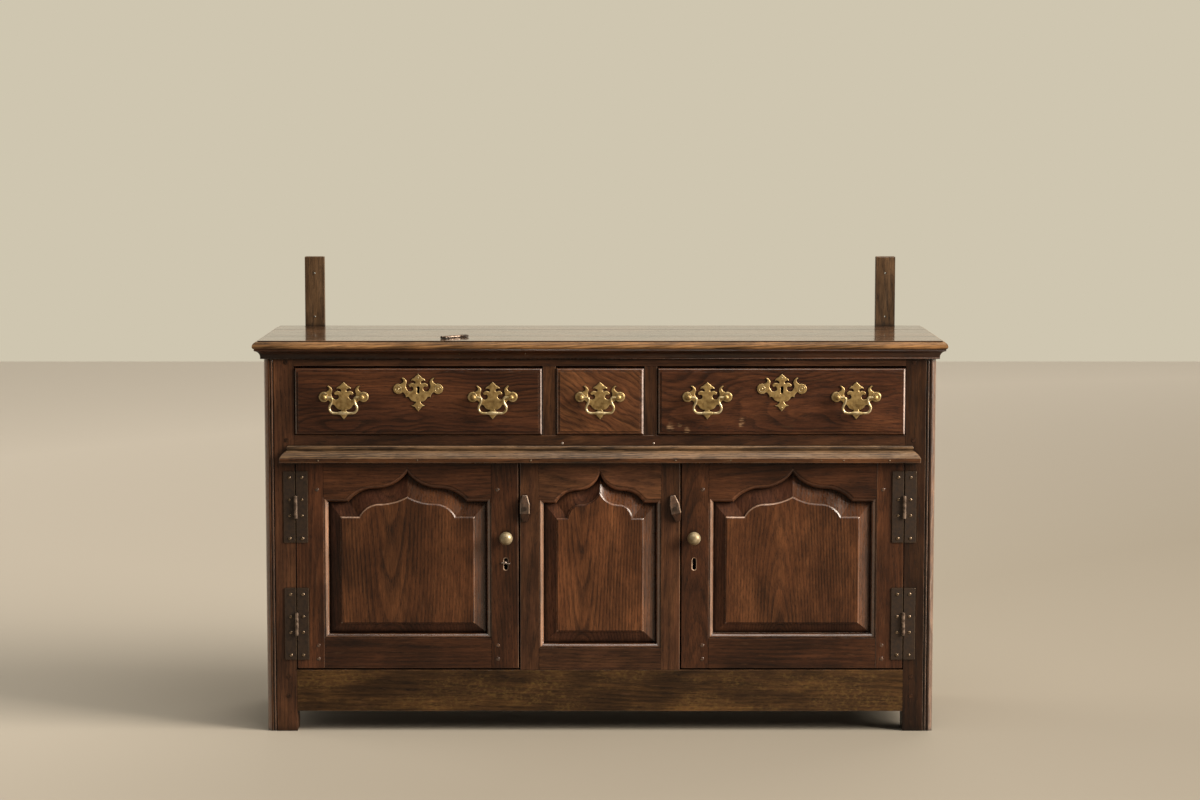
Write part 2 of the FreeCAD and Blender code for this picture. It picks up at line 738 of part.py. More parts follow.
def hinge_leaf(band, side):
    """One leaf of an H-hinge on the right: side 1 is on the stile with the pin, side -1 on the door."""
    low, high = band
    middle = (low + high) / 2
    x0, x1 = sorted((HINGE_X + side * LEAF_EDGE, HINGE_X + side * LEAF_WIDTH))
    leaf = box(x0, x1, FACE - LEAF_THICK, FACE, low, high)
    third = KNUCKLE_LONG / 3
    ends = [middle - KNUCKLE_LONG / 2, middle - third / 2, middle + third / 2, middle + KNUCKLE_LONG / 2]
    spans = {1: [(ends[0], ends[1]), (ends[2], ends[3])], -1: [(ends[1], ends[2])]}
    for z0, z1 in spans[-side]:
        room = KNUCKLE_R + KNUCKLE_GAP
        leaf = leaf.cut(rod(room, V(HINGE_X, HINGE_Y, z0 - KNUCKLE_GAP), V(HINGE_X, HINGE_Y, z1 + KNUCKLE_GAP)))
    for z0, z1 in spans[side]:
        trim = KNUCKLE_GAP / 2
        leaf = leaf.fuse(rod(KNUCKLE_R, V(HINGE_X, HINGE_Y, z0 + trim), V(HINGE_X, HINGE_Y, z1 - trim)))
    pin_r = PIN_R if side == 1 else PIN_R + RUNNING_FIT
    pin = rod(pin_r, V(HINGE_X, HINGE_Y, ends[0]), V(HINGE_X, HINGE_Y, ends[3]))
    return leaf.fuse(pin).removeSplitter() if side == 1 else leaf.cut(pin)


def knob_hole():
    return rod(KNOB_SHANK_R + JOINT_PLAY, V(KNOB_X, FACE - OVERSHOOT, KNOB_Z),
               V(KNOB_X, FACE + KNOB_SHANK + 1, KNOB_Z))


def knob():
    """Turned ball knob on a collar and neck, with its shank in the door stile."""
    ball_y = KNOB_REACH - KNOB_R
    neck = 5.5
    collar = 9.0
    collar_high = 2.2
    join = ball_y - math.sqrt(KNOB_R ** 2 - neck ** 2)
    wire = outline(V(0, 0, 0), [
        V(collar, 0, 0),
        (V(collar + 0.6, 0, collar_high / 2), V(collar - 0.4, 0, collar_high)),
        V(neck, 0, collar_high + 1),
        V(neck, 0, join),
        (V(KNOB_R, 0, ball_y), V(0, 0, KNOB_REACH)),
        V(0, 0, 0),
    ])
    ball = Part.Face(wire).revolve(V(0, 0, 0), V(0, 0, 1), 360)
    ball.rotate(V(0, 0, 0), V(1, 0, 0), 90)
    ball.translate(V(KNOB_X, FACE, KNOB_Z))
    shank = rod(KNOB_SHANK_R, V(KNOB_X, FACE - 1, KNOB_Z), V(KNOB_X, FACE + KNOB_SHANK, KNOB_Z))
    return ball.fuse(shank).removeSplitter()


# Door lock on the inner face of the lock stile; its bolt slides behind the middle bay's stile

LOCK_WIDE = 54.0
LOCK_HIGH = 70.0
LOCK_THICK = 14.0
LOCK_COVER = 3.0
LOCK_Y = FACE + DOOR_THICK
BOLT_HIGH = 18.0
BOLT_Z = KEYHOLE_Z + 19.0
BOLT_Y0 = RAIL_REAR + 1.5
BOLT_THICK = 6.0
BOLT_LONG = 34.0
BOLT_PLAY = 0.4
BOLT_SETBACK = 0.5


def door_bolt():
    x0 = DOOR_IN + BOLT_SETBACK
    half = BOLT_HIGH / 2
    return box(x0, x0 + BOLT_LONG, BOLT_Y0, BOLT_Y0 + BOLT_THICK, BOLT_Z - half, BOLT_Z + half)


def door_lock():
    case = box(DOOR_IN, DOOR_IN + LOCK_WIDE, LOCK_Y, LOCK_Y + LOCK_THICK,
               KEYHOLE_Z - LOCK_HIGH / 2, KEYHOLE_Z + LOCK_HIGH / 2)
    half = BOLT_HIGH / 2 + BOLT_PLAY
    channel = box(DOOR_IN - OVERSHOOT, DOOR_IN + BOLT_LONG + 4, BOLT_Y0 - BOLT_PLAY,
                  BOLT_Y0 + BOLT_THICK + BOLT_PLAY, BOLT_Z - half, BOLT_Z + half)
    slot = keyhole(KEYHOLE_X, KEYHOLE_Z, KEYHOLE_WIDE, KEYHOLE_HIGH - 6,
                   LOCK_Y - OVERSHOOT, LOCK_Y + LOCK_THICK - LOCK_COVER)
    return case.cut(channel).cut(slot)


# Turn-buttons

def turn_button(side):
    """Square middle with tapered ends on a centre screw, resting upright or nearly so."""
    x = side * BUTTON_X
    half = BUTTON_LONG / 2
    block = BUTTON_WIDE / 2
    tip = BUTTON_TIP / 2
    rear = FACE - BUTTON_CLEAR
    front = rear - BUTTON_THICK
    points = [(x - tip, -half), (x + tip, -half), (x + block, -block), (x + block, block),
              (x + tip, half), (x - tip, half), (x - block, block), (x - block, -block)]
    plan = prism(polygon_wire([(px, BUTTON_Z + pz) for px, pz in points], front), V(0, BUTTON_THICK, 0))
    edge = x - BUTTON_WIDE
    profile = [V(edge, rear, BUTTON_Z - half), V(edge, rear, BUTTON_Z + half),
               V(edge, rear - BUTTON_THIN, BUTTON_Z + half), V(edge, front, BUTTON_Z + block),
               V(edge, front, BUTTON_Z - block), V(edge, rear - BUTTON_THIN, BUTTON_Z - half)]
    wedge = prism(Part.makePolygon(profile + [profile[0]]), V(2 * BUTTON_WIDE, 0, 0))
    bore = rod(SCREW_R + RUNNING_FIT, V(x, rear + OVERSHOOT, BUTTON_Z), V(x, front - OVERSHOOT, BUTTON_Z))
    button = plan.common(wedge).cut(bore)
    button.rotate(V(x, 0, BUTTON_Z), V(0, 1, 0), BUTTON_TILT[side])
    return button


def turn_button_screw(side):
    x = side * BUTTON_X
    front = FACE - BUTTON_CLEAR - BUTTON_THICK
    seat = front - BUTTON_CLEAR
    shank = rod(SCREW_R, V(x, seat - SCREW_HEAD / 2, BUTTON_Z), V(x, FACE + SCREW_DEEP, BUTTON_Z))
    head = rod(SCREW_HEAD_R, V(x, seat - SCREW_HEAD, BUTTON_Z), V(x, seat, BUTTON_Z))
    return shank.fuse(head).removeSplitter()


# Drawers

DRAWERS = {
    "drawer_left": (-STILE_IN + DRAWER_GAP, -MUNTIN_OUT - DRAWER_GAP),
    "drawer_middle": (-MUNTIN_IN + DRAWER_GAP, MUNTIN_IN - DRAWER_GAP),
    "drawer_right": (MUNTIN_OUT + DRAWER_GAP, STILE_IN - DRAWER_GAP),
}
FRONT_REAR = DRAWER_FACE + DRAWER_FRONT


def dovetails(x0, x1):
    """Tails on the front end of a drawer side, flared towards their tips."""
    high = DRAWER_SIDE_HIGH - DRAWER_LOW
    pitch = high / TAIL_COUNT
    half = pitch * 0.3
    tails = []
    for i in range(TAIL_COUNT):
        z = DRAWER_LOW + pitch * (i + 0.5)
        tip = FRONT_REAR - TAIL_LONG
        points = [V(x0, FRONT_REAR, z - half), V(x0, tip, z - half - TAIL_FLARE),
                  V(x0, tip, z + half + TAIL_FLARE), V(x0, FRONT_REAR, z + half)]
        tails.append(prism(Part.makePolygon(points + [points[0]]), V(x1 - x0, 0, 0)))
    return tails


def handle_places(name):
    x0, x1 = DRAWERS[name]
    middle = (x0 + x1) / 2
    if name == "drawer_middle":
        return [middle]
    return [middle - HANDLE_OFFSET, middle + HANDLE_OFFSET]


def escutcheon_place(name):
    x0, x1 = DRAWERS[name]
    return (x0 + x1) / 2


def drawer_keyhole(x, y0, y1):
    return keyhole(x, TILL_KEYHOLE_Z, TILL_KEYHOLE_WIDE, TILL_KEYHOLE_HIGH, y0, y1)


def drawer_bottom(name, play=0.0):
    x0, x1 = DRAWERS[name]
    in_groove = BOX_PLAY + DRAWER_SIDE - BOTTOM_GROOVE
    return box(x0 + in_groove - play, x1 - in_groove + play, FRONT_REAR - BOTTOM_TONGUE - play, DRAWER_REAR,
               DRAWER_BOTTOM_Z - play, DRAWER_BOTTOM_Z + DRAWER_BOTTOM + play)


def drawer_front(name):
    """Proud front with a rounded edge, a small step to the field, and sockets for the side dovetails."""
    x0, x1 = DRAWERS[name]
    step = DRAWER_FACE + DRAWER_FIELD
    slab = box(x0, x1, step, FRONT_REAR, DRAWER_LOW, DRAWER_HIGH)
    rim = [edge for edge in slab.Edges if edge.BoundBox.YMax < step + 0.01]
    slab = slab.makeFillet(DRAWER_ROUND, rim)
    field = box(x0 + DRAWER_EDGE, x1 - DRAWER_EDGE, DRAWER_FACE, step + 1,
                DRAWER_LOW + DRAWER_EDGE, DRAWER_HIGH - DRAWER_EDGE)
    front = slab.fuse(field).removeSplitter()
    tools = [drawer_bottom(name, JOINT_PLAY)]
    for x in (x0 + BOX_PLAY, x1 - BOX_PLAY - DRAWER_SIDE):
        tools += dovetails(x, x + DRAWER_SIDE)
    for x in handle_places(name):
        for post in (x - POST_X, x + POST_X):
            tools.append(rod(POST_SHANK + JOINT_PLAY, V(post, DRAWER_FACE - OVERSHOOT, HANDLE_Z),
                             V(post, FRONT_REAR + OVERSHOOT, HANDLE_Z)))
    if name != "drawer_middle":
        tools.append(drawer_keyhole(escutcheon_place(name), DRAWER_FACE - OVERSHOOT, FRONT_REAR + OVERSHOOT))
    return cut_all(front, tools)


def drawer_box(name):
    """Two sides, a back and a bottom."""
    x0, x1 = DRAWERS[name]
    left = x0 + BOX_PLAY
    right = x1 - BOX_PLAY - DRAWER_SIDE
    bottom = drawer_bottom(name)
    sides = []
    for x in (left, right):
        side = box(x, x + DRAWER_SIDE, FRONT_REAR, DRAWER_REAR, DRAWER_LOW, DRAWER_SIDE_HIGH)
        for tail in dovetails(x, x + DRAWER_SIDE):
            side = side.fuse(tail)
        sides.append(side.removeSplitter().cut(drawer_bottom(name, JOINT_PLAY)))
    back = box(left + DRAWER_SIDE, right, DRAWER_REAR - DRAWER_SIDE, DRAWER_REAR,
               DRAWER_BOTTOM_Z + DRAWER_BOTTOM, DRAWER_SIDE_HIGH - DRAWER_BACK_DROP)
    return sides + [back, bottom]


# Drawer lock on the inner face of the front; its bolt rises into a pocket in the top rail

TILL_WIDE = 64.0
TILL_THICK = 11.0
TILL_LOW = 734.0
TILL_BOLT_WIDE = 24.0
TILL_BOLT_Y = FRONT_REAR + 2.5
TILL_BOLT_THICK = 5.0
TILL_BOLT_LONG = 30.0
TILL_BOLT_TOP = DRAWER_HIGH - 1.0
TILL_POCKET_PLAY = 1.5
TILL_KEYHOLE_WIDE = 6.0
TILL_KEYHOLE_HIGH = 19.0
TILL_KEYHOLE_Z = HANDLE_Z + ESCUTCHEON_RAISE - 2.0


def drawer_bolt_box(side, low, high, play=0.0):
    x = escutcheon_place("drawer_right") * side
    half = TILL_BOLT_WIDE / 2 + play
    return box(x - half, x + half, TILL_BOLT_Y - play, TILL_BOLT_Y + TILL_BOLT_THICK + play, low, high)


def drawer_bolt(side):
    return drawer_bolt_box(side, TILL_BOLT_TOP - TILL_BOLT_LONG, TILL_BOLT_TOP)


def drawer_bolt_pocket(side):
    high = TILL_BOLT_TOP + DRAWER_BOLT_TRAVEL + TILL_POCKET_PLAY
    return drawer_bolt_box(side, TOP_RAIL_LOW - OVERSHOOT, high, TILL_POCKET_PLAY)


def drawer_lock(side):
    x = escutcheon_place("drawer_right") * side
    case = box(x - TILL_WIDE / 2, x + TILL_WIDE / 2, FRONT_REAR, FRONT_REAR + TILL_THICK, TILL_LOW, DRAWER_HIGH)
    channel = drawer_bolt_box(side, TILL_BOLT_TOP - TILL_BOLT_LONG - 4, DRAWER_HIGH + OVERSHOOT, BOLT_PLAY)
    slot = drawer_keyhole(x, FRONT_REAR - OVERSHOOT, FRONT_REAR + TILL_THICK - LOCK_COVER)
    return case.cut(channel).cut(slot)


# Brass plates, posts and bails

EAR_X = 42.8
EAR_R = 11.0
PLATE_ABOVE = 32.0
PLATE_BELOW = 48.6


def plate_half(side, cx, cz, y):
    """Steps of one half of the pierced bat-wing plate, from the top point down to the bottom point."""
    def at(x, z):
        return V(cx + side * x, y, cz + z)

    def ear(degrees):
        angle = math.radians(degrees)
        return at(EAR_X + EAR_R * math.cos(angle), EAR_R * math.sin(angle))

    return [
        (at(4.4, 28.4), at(8.8, 23.8)),
        (at(13.4, 21.4), at(16.0, 16.6)),
        (at(11.6, 18.4), at(7.2, 16.6)),
        (at(5.6, 13.8), at(8.4, 11.4)),
        (at(14.6, 12.6), at(20.4, 9.0)),
        (at(19.4, 5.2), at(14.8, 5.4)),
        (at(10.6, 0.8), at(13.6, -4.6)),
        (at(19.4, -5.8), at(23.8, -1.0)),
        (at(26.6, 4.4), at(25.8, 10.0)),
        (at(25.2, 16.6), at(29.2, 21.8)),
        (at(32.8, 24.0), at(36.4, 23.0)),
        (at(31.6, 18.4), at(33.4, 13.6)),
        ear(112),
        (ear(0), ear(-140)),
        (at(29.6, -10.6), at(26.6, -18.8)),
        (at(22.4, -17.2), at(18.4, -20.0)),
        (at(13.6, -25.6), at(5.0, -27.8)),
        (at(7.4, -32.6), at(14.2, -36.0)),
        at(13.8, -37.4),
        (at(8.8, -38.4), at(5.6, -42.0)),
        at(0.0, -PLATE_BELOW),
    ]


def reverse_steps(start, steps):
    """The same run of steps walked backwards."""
    ends = [start] + [step[1] if isinstance(step, tuple) else step for step in steps]
    back = []
    for i in range(len(steps) - 1, -1, -1):
        step = steps[i]
        back.append((step[0], ends[i]) if isinstance(step, tuple) else ends[i])
    return back


def brass_plate(cx, cz):
    y = DRAWER_FACE
    top = V(cx, y, cz + PLATE_ABOVE)
    right = plate_half(1, cx, cz, y)
    left = reverse_steps(top, plate_half(-1, cx, cz, y))
    return prism(outline(top, right + left), V(0, -PLATE_THICK, 0))


def handle_plate(cx):
    plate = brass_plate(cx, HANDLE_Z)
    for post in (cx - POST_X, cx + POST_X):
        plate = plate.cut(rod(POST_SHANK + JOINT_PLAY, V(post, DRAWER_FACE + OVERSHOOT, HANDLE_Z),
                              V(post, DRAWER_FACE - OVERSHOOT, HANDLE_Z)))
    return plate


def escutcheon(cx):
    """Plate with a keyhole: a slot below a round eye."""
    z = HANDLE_Z + ESCUTCHEON_RAISE
    slot_wide = 5.4
    slot_high = 14.0
    slot_drop = 3.5
    eye_r = 3.4
    eye_raise = 2.0
    near = DRAWER_FACE - OVERSHOOT
    far = DRAWER_FACE + OVERSHOOT
    slot = keyhole(cx, z - slot_drop, slot_wide, slot_high, near, far)
    eye = rod(eye_r, V(cx, near, z + eye_raise), V(cx, far, z + eye_raise))
    return brass_plate(cx, z).cut(slot).cut(eye)


def handle_post(px, inward):
    """Turned post with a ball head bored for the bail, and its shank and nut behind the drawer front."""
    base = DRAWER_FACE - PLATE_THICK
    pivot = DRAWER_FACE - POST_REACH
    collar = rod(POST_COLLAR, V(px, base, HANDLE_Z), V(px, base - POST_COLLAR_HIGH, HANDLE_Z))
    neck = rod(POST_NECK, V(px, base - 1, HANDLE_Z), V(px, pivot, HANDLE_Z))
    ball = Part.makeSphere(POST_BALL, V(px, pivot, HANDLE_Z))
    shank = rod(POST_SHANK, V(px, base - 1, HANDLE_Z), V(px, FRONT_REAR + NUT_THICK + 2, HANDLE_Z))
    nut = rod(NUT_R, V(px, FRONT_REAR, HANDLE_Z), V(px, FRONT_REAR + NUT_THICK, HANDLE_Z))
    post = collar.fuse(neck).fuse(ball).fuse(shank).fuse(nut).removeSplitter()
    bore = rod(BAIL_R + RUNNING_FIT, V(px + inward * 2 * POST_BALL, pivot, HANDLE_Z),
               V(px + inward * POST_WALL, pivot, HANDLE_Z))
    return post.cut(bore)


def bail(cx):
    """Swan-neck bail: straight pivots, a neck, a flare and a thickened grip, as tangent arcs."""
    y = DRAWER_FACE - POST_REACH
    neck_x = 24.0
    neck_r = 4.0
    flare_r = 22.0
    flare = math.radians(35)
    turn_r = 11.0
    flare_x = neck_x + flare_r * (1 - math.cos(flare))
    flare_z = -neck_r - flare_r * math.sin(flare)
    turn_x = flare_x - turn_r * math.cos(flare)
    turn_z = flare_z - turn_r * math.sin(flare)
    grip_z = turn_z - turn_r
    pin_x = POST_X - POST_WALL - 0.5

    def at(x, z):
        return V(cx + x, y, HANDLE_Z + z)

    def half_edges(s):
        bend = math.radians(45)
        neck_mid = at(s * (neck_x + neck_r * (1 - math.cos(bend))), neck_r * (math.sin(bend) - 1))
        flare_mid = at(s * (neck_x + flare_r * (1 - math.cos(flare / 2))),
                       -neck_r - flare_r * math.sin(flare / 2))
        side = (flare - math.pi / 2) / 2
        turn_mid = at(s * (turn_x + turn_r * math.cos(side)), turn_z + turn_r * math.sin(side))
        return [
            Part.LineSegment(at(s * pin_x, 0), at(s * (neck_x + neck_r), 0)).toShape(),
            Part.Arc(at(s * (neck_x + neck_r), 0), neck_mid, at(s * neck_x, -neck_r)).toShape(),
            Part.Arc(at(s * neck_x, -neck_r), flare_mid, at(s * flare_x, flare_z)).toShape(),
            Part.Arc(at(s * flare_x, flare_z), turn_mid, at(s * turn_x, grip_z)).toShape(),
        ]

    across = Part.LineSegment(at(-turn_x, grip_z), at(turn_x, grip_z)).toShape()
    path = Part.Wire(half_edges(-1) + [across] + half_edges(1)[::-1])
    section = Part.Wire(Part.makeCircle(BAIL_R, at(-pin_x, 0), V(1, 0, 0)))
    tube = path.makePipeShell([section], True, False)
    spindle = outline(at(-turn_x, grip_z), [
        (at(0, grip_z + BAIL_GRIP), at(turn_x, grip_z)),
        at(-turn_x, grip_z),
    ])
    grip = Part.Face(spindle).revolve(at(0, grip_z), V(1, 0, 0), 360)
    return tube.fuse(grip)


def drawer_brasses(name):
    pieces = []
    for x in handle_places(name):
        pieces += [handle_plate(x), handle_post(x - POST_X, 1), handle_post(x + POST_X, -1)]
    if name != "drawer_middle":
        pieces.append(escutcheon(escutcheon_place(name)))
    return pieces


# Top and mouldings

def nose_profile(edge, inward, at):
    """Moulded edge from the flat top, a small step and a round nose, back under; at(u, z) makes the point."""
    shoulder = (2.6, 5.8)
    chin = (1.3, 16.0)
    return [
        at(edge + inward * NOSE_FLAT, TOP_HEIGHT),
        at(edge + inward * NOSE_FLAT, TOP_HEIGHT - NOSE_STEP),
        (at(edge + inward * shoulder[0], TOP_HEIGHT - shoulder[1]), at(edge, TOP_HEIGHT - NOSE_WIDEST)),
        (at(edge + inward * chin[0], TOP_HEIGHT - chin[1]), at(edge + inward * NOSE_UNDER, CASE_TOP)),
    ]


def top_slab():
    """Whole top with its moulded front and ends: the front section run along X, trimmed by the end section."""
    half = TOP_WIDTH / 2
    steps = nose_profile(NOSE, 1, lambda u, z: V(-half, u, z))
    start = V(-half, BACK_EDGE, TOP_HEIGHT)
    front = prism(outline(start, steps + [V(-half, BACK_EDGE, CASE_TOP), start]), V(TOP_WIDTH, 0, 0))
    right = nose_profile(half, -1, lambda u, z: V(u, NOSE, z))
    left_start = V(-half + NOSE_FLAT, NOSE, TOP_HEIGHT)
    left = reverse_steps(left_start, nose_profile(-half, 1, lambda u, z: V(u, NOSE, z))[1:])
    under_left = V(-half + NOSE_UNDER, NOSE, CASE_TOP)
    ends = prism(outline(left_start, right + [under_left] + left), V(0, TOP_DEPTH, 0))
    return front.common(ends)


def top_boards():
    slab = top_slab()
    for side in (-1, 1):
        x0 = side * UPRIGHT_CENTRE - UPRIGHT_WIDTH / 2 - JOINT_PLAY
        slab = slab.cut(box(x0, x0 + UPRIGHT_WIDTH + 2 * JOINT_PLAY, BACK_FACE - JOINT_PLAY,
                            BACK_EDGE + OVERSHOOT, CASE_TOP - OVERSHOOT, TOP_HEIGHT + OVERSHOOT))
    lines = [NOSE - OVERSHOOT] + [NOSE + joint for joint in TOP_JOINTS] + [BACK_EDGE + OVERSHOOT]
    half = TOP_WIDTH / 2 + OVERSHOOT
    boards = []
    for near, far in zip(lines, lines[1:]):
        strip = box(-half, half, near + BOARD_GAP / 2, far - BOARD_GAP / 2,
                    CASE_TOP - OVERSHOOT, TOP_HEIGHT + OVERSHOOT)
        boards.append(slab.common(strip))
    save("top_front_board", boards[0])
    save("top_rear_boards", boards[1:])


def cove_steps(at):
    """Cove under the top: fillet, hollow, fillet; at(reach, z) makes the point."""
    fillet = 4.0
    low = CASE_TOP - COVE_HEIGHT
    foot = 6.0
    hollow = ((COVE_REACH + foot) / 2 - 2.8, (CASE_TOP + low) / 2 + 2.0)
    return [
        at(COVE_REACH, CASE_TOP),
        at(COVE_REACH, CASE_TOP - fillet),
        (at(*hollow), at(foot, low + fillet)),
        at(foot, low),
        at(0, low),
        at(0, CASE_TOP),
    ]


def cove_moulding():
    """Front length and two returns, mitred at the corners."""
    half = CASE_HALF + COVE_REACH
    front_wire = outline(V(-half, FACE, CASE_TOP), cove_steps(lambda r, z: V(-half, FACE - r, z)))
    front = prism(front_wire, V(2 * half, 0, 0))
    reach = COVE_REACH + 2
    plan = [V(-CASE_HALF, FACE, 0), V(-CASE_HALF - reach, FACE - reach, 0),
            V(CASE_HALF + reach, FACE - reach, 0), V(CASE_HALF, FACE, 0)]
    front = front.common(prism(Part.makePolygon(plan + [plan[0]]), V(0, 0, TOP_HEIGHT)))
    side_wire = outline(V(CASE_HALF, FACE - reach, CASE_TOP),
                        cove_steps(lambda r, z: V(CASE_HALF + r, FACE - reach, z)))
    right = prism(side_wire, V(0, BACK_FACE - FACE + reach, 0))
    plan = [V(CASE_HALF, FACE, 0), V(CASE_HALF + reach, FACE - reach, 0),
            V(CASE_HALF + reach, BACK_FACE, 0), V(CASE_HALF, BACK_FACE, 0)]
    right = right.common(prism(Part.makePolygon(plan + [plan[0]]), V(0, 0, TOP_HEIGHT)))
    return [front, mirrored(right), right]


def waist_steps(at):
    """Waist moulding from its top: bead, groove, sloping round and fascia; at(reach, z) makes the point."""
    fascia = 9.5
    groove = 4.4
    bead_low = WAIST_HIGH - 9.0
    slope_high = WAIST_HIGH - 11.0
    return [
        at(3.0, WAIST_HIGH),
        (at(6.2, WAIST_HIGH - 4.2), at(groove, bead_low)),
        at(groove, slope_high),
        at(7.0, slope_high),
        (at(15.4, slope_high - 6.6), at(WAIST_REACH, WAIST_LOW + fascia)),
        at(WAIST_REACH, WAIST_LOW),
    ]


def waist_moulding():
    """One length with returned ends: the front section run along X, trimmed by the same section at the ends."""
    half = WAIST_HALF
    start = V(-half, FACE, WAIST_HIGH)
    steps = waist_steps(lambda r, z: V(-half, FACE - r, z))
    front = prism(outline(start, steps + [V(-half, FACE, WAIST_LOW), start]), V(2 * half, 0, 0))
    back = half - WAIST_REACH
    y = FACE - WAIST_REACH
    start = V(-back, y, WAIST_HIGH)
    right = waist_steps(lambda r, z: V(back + r, y, z))
    left_steps = waist_steps(lambda r, z: V(-back - r, y, z))
    left = reverse_steps(start, left_steps)
    ends = prism(outline(start, [V(back, y, WAIST_HIGH)] + right + [V(-half, y, WAIST_LOW)] + left),
                 V(0, WAIST_REACH, 0))
    return front.common(ends)


def rack_upright(side):
    """Batten let into the rear edge of the top and fixed to the back, with two screw holes for the rack."""
    x = side * UPRIGHT_CENTRE
    half = UPRIGHT_WIDTH / 2
    post = box(x - half, x + half, BACK_FACE, BACK_EDGE, UPRIGHT_FOOT, UPRIGHT_TOP)
    for z in RACK_HOLES:
        post = post.cut(rod(RACK_HOLE_R, V(x, BACK_FACE - OVERSHOOT, z), V(x, BACK_EDGE + OVERSHOOT, z)))
    return post


# Inside the case

def cupboard_floor():
    """Boards along the case, notched round the stiles, on four bearers."""
    low = FLOOR_TOP - FLOOR_THICK
    front = RAIL_REAR + BOARD_PLAY / 2
    rear = REAR_RAIL_FRONT - BOARD_PLAY / 2
    wide = (rear - front) / FLOOR_BOARDS
    notches = []
    for side in (-1, 1):
        x0, x1 = sorted((side * (STILE_IN - BOARD_PLAY), side * CASE_HALF))
        notches.append(box(x0, x1, FACE, SIDE_FRONT + BOARD_PLAY, 0, CASE_TOP))
        x0, x1 = sorted((side * (CASE_HALF - REAR_STILE - BOARD_PLAY), side * CASE_HALF))
        notches.append(box(x0, x1, SIDE_REAR - BOARD_PLAY, CASE_REAR, 0, CASE_TOP))
    boards = []
    inside = INSIDE - BOARD_PLAY
    for i in range(FLOOR_BOARDS):
        y0 = front + i * wide
        board = box(-inside, inside, y0, y0 + wide - BOARD_GAP, low, FLOOR_TOP)
        boards.append(cut_all(board, notches))
    high = low
    low = high - BEARER_HIGH
    front_span = STILE_IN - BOARD_PLAY
    rear_span = CASE_HALF - REAR_STILE - BOARD_PLAY
    bearers = [
        box(-front_span, front_span, RAIL_REAR, RAIL_REAR + BEARER, low, high),
        box(-rear_span, rear_span, REAR_RAIL_FRONT - BEARER, REAR_RAIL_FRONT, low, high),
    ]
    right = box(INSIDE - BEARER, INSIDE, SIDE_FRONT, SIDE_REAR - BOARD_PLAY, low, high)
    return boards + bearers + [right, mirrored(right)]


def cupboard_shelf():
    """One board resting on a cleat at each end."""
    half = INSIDE - BOARD_PLAY
    board = box(-half, half, SHELF_FRONT, SIDE_REAR - BOARD_PLAY, SHELF_Z, SHELF_Z + SHELF_THICK)
    cleat = box(INSIDE - BEARER, INSIDE, SIDE_FRONT, SIDE_REAR, SHELF_Z - BEARER_HIGH, SHELF_Z)
    return [board, cleat, mirrored(cleat)]


def drawer_runners():
    """Four runners level with the middle rail, each with a guide strip on it."""
    low = MIDDLE_HIGH - RUNNER_HIGH
    high = MIDDLE_HIGH + GUIDE_HIGH
    posts = [box(STILE_IN - 2 * RUNNER_REACH, CASE_HALF, FACE, SIDE_FRONT, 0, CASE_TOP),
             box(CASE_HALF - REAR_STILE, CASE_HALF, SIDE_REAR, CASE_REAR, 0, CASE_TOP)]
    pieces = []
    places = ((MUNTIN_IN, MUNTIN_OUT, MUNTIN_OUT + RUNNER_REACH), (STILE_IN, INSIDE, INSIDE - BOARD_PLAY))
    for inner, outer, far in places:
        runner = box(inner - RUNNER_REACH, far, RAIL_REAR, REAR_RAIL_FRONT, low, MIDDLE_HIGH)
        guide = box(inner + BOARD_PLAY, outer - BOARD_PLAY, RAIL_REAR, REAR_RAIL_FRONT, MIDDLE_HIGH, high)
        for piece in (cut_all(runner, posts), cut_all(guide, posts)):
            pieces += [piece, mirrored(piece)]
    return pieces


# Key lying on the top

def iron_key():
    """Bow ring, shaft and a notched bit, lying flat."""
    z = KEY_SHAFT_R + KEY_CLEAR
    end = KEY_LONG / 2
    bit_near, bit_far = end - 15.0, end - 2.0
    bit_reach = 13.0
    bit_half = 1.4
    notch_half = 1.0
    notch_x = (bit_near + bit_far) / 2
    bow = Part.makeTorus(KEY_BOW_R, KEY_WIRE_R, V(-end + KEY_BOW_R + KEY_WIRE_R, 0, z), V(0, 0, 1))
    start = -end + 2 * KEY_BOW_R + KEY_WIRE_R
    shaft = rod(KEY_SHAFT_R, V(start, 0, z), V(end, 0, z))
    bit = box(bit_near, bit_far, 1, bit_reach, z - bit_half, z + bit_half)
    notch = box(notch_x - notch_half, notch_x + notch_half, bit_reach / 2, bit_reach + 1, 0, 2 * z)
    key = bow.fuse(shaft).fuse(bit).removeSplitter().cut(notch)
    key.rotate(V(0, 0, 0), V(0, 0, 1), 180 + KEY_TURN)
    key.translate(V(KEY_X, KEY_Y, TOP_HEIGHT))
    return key


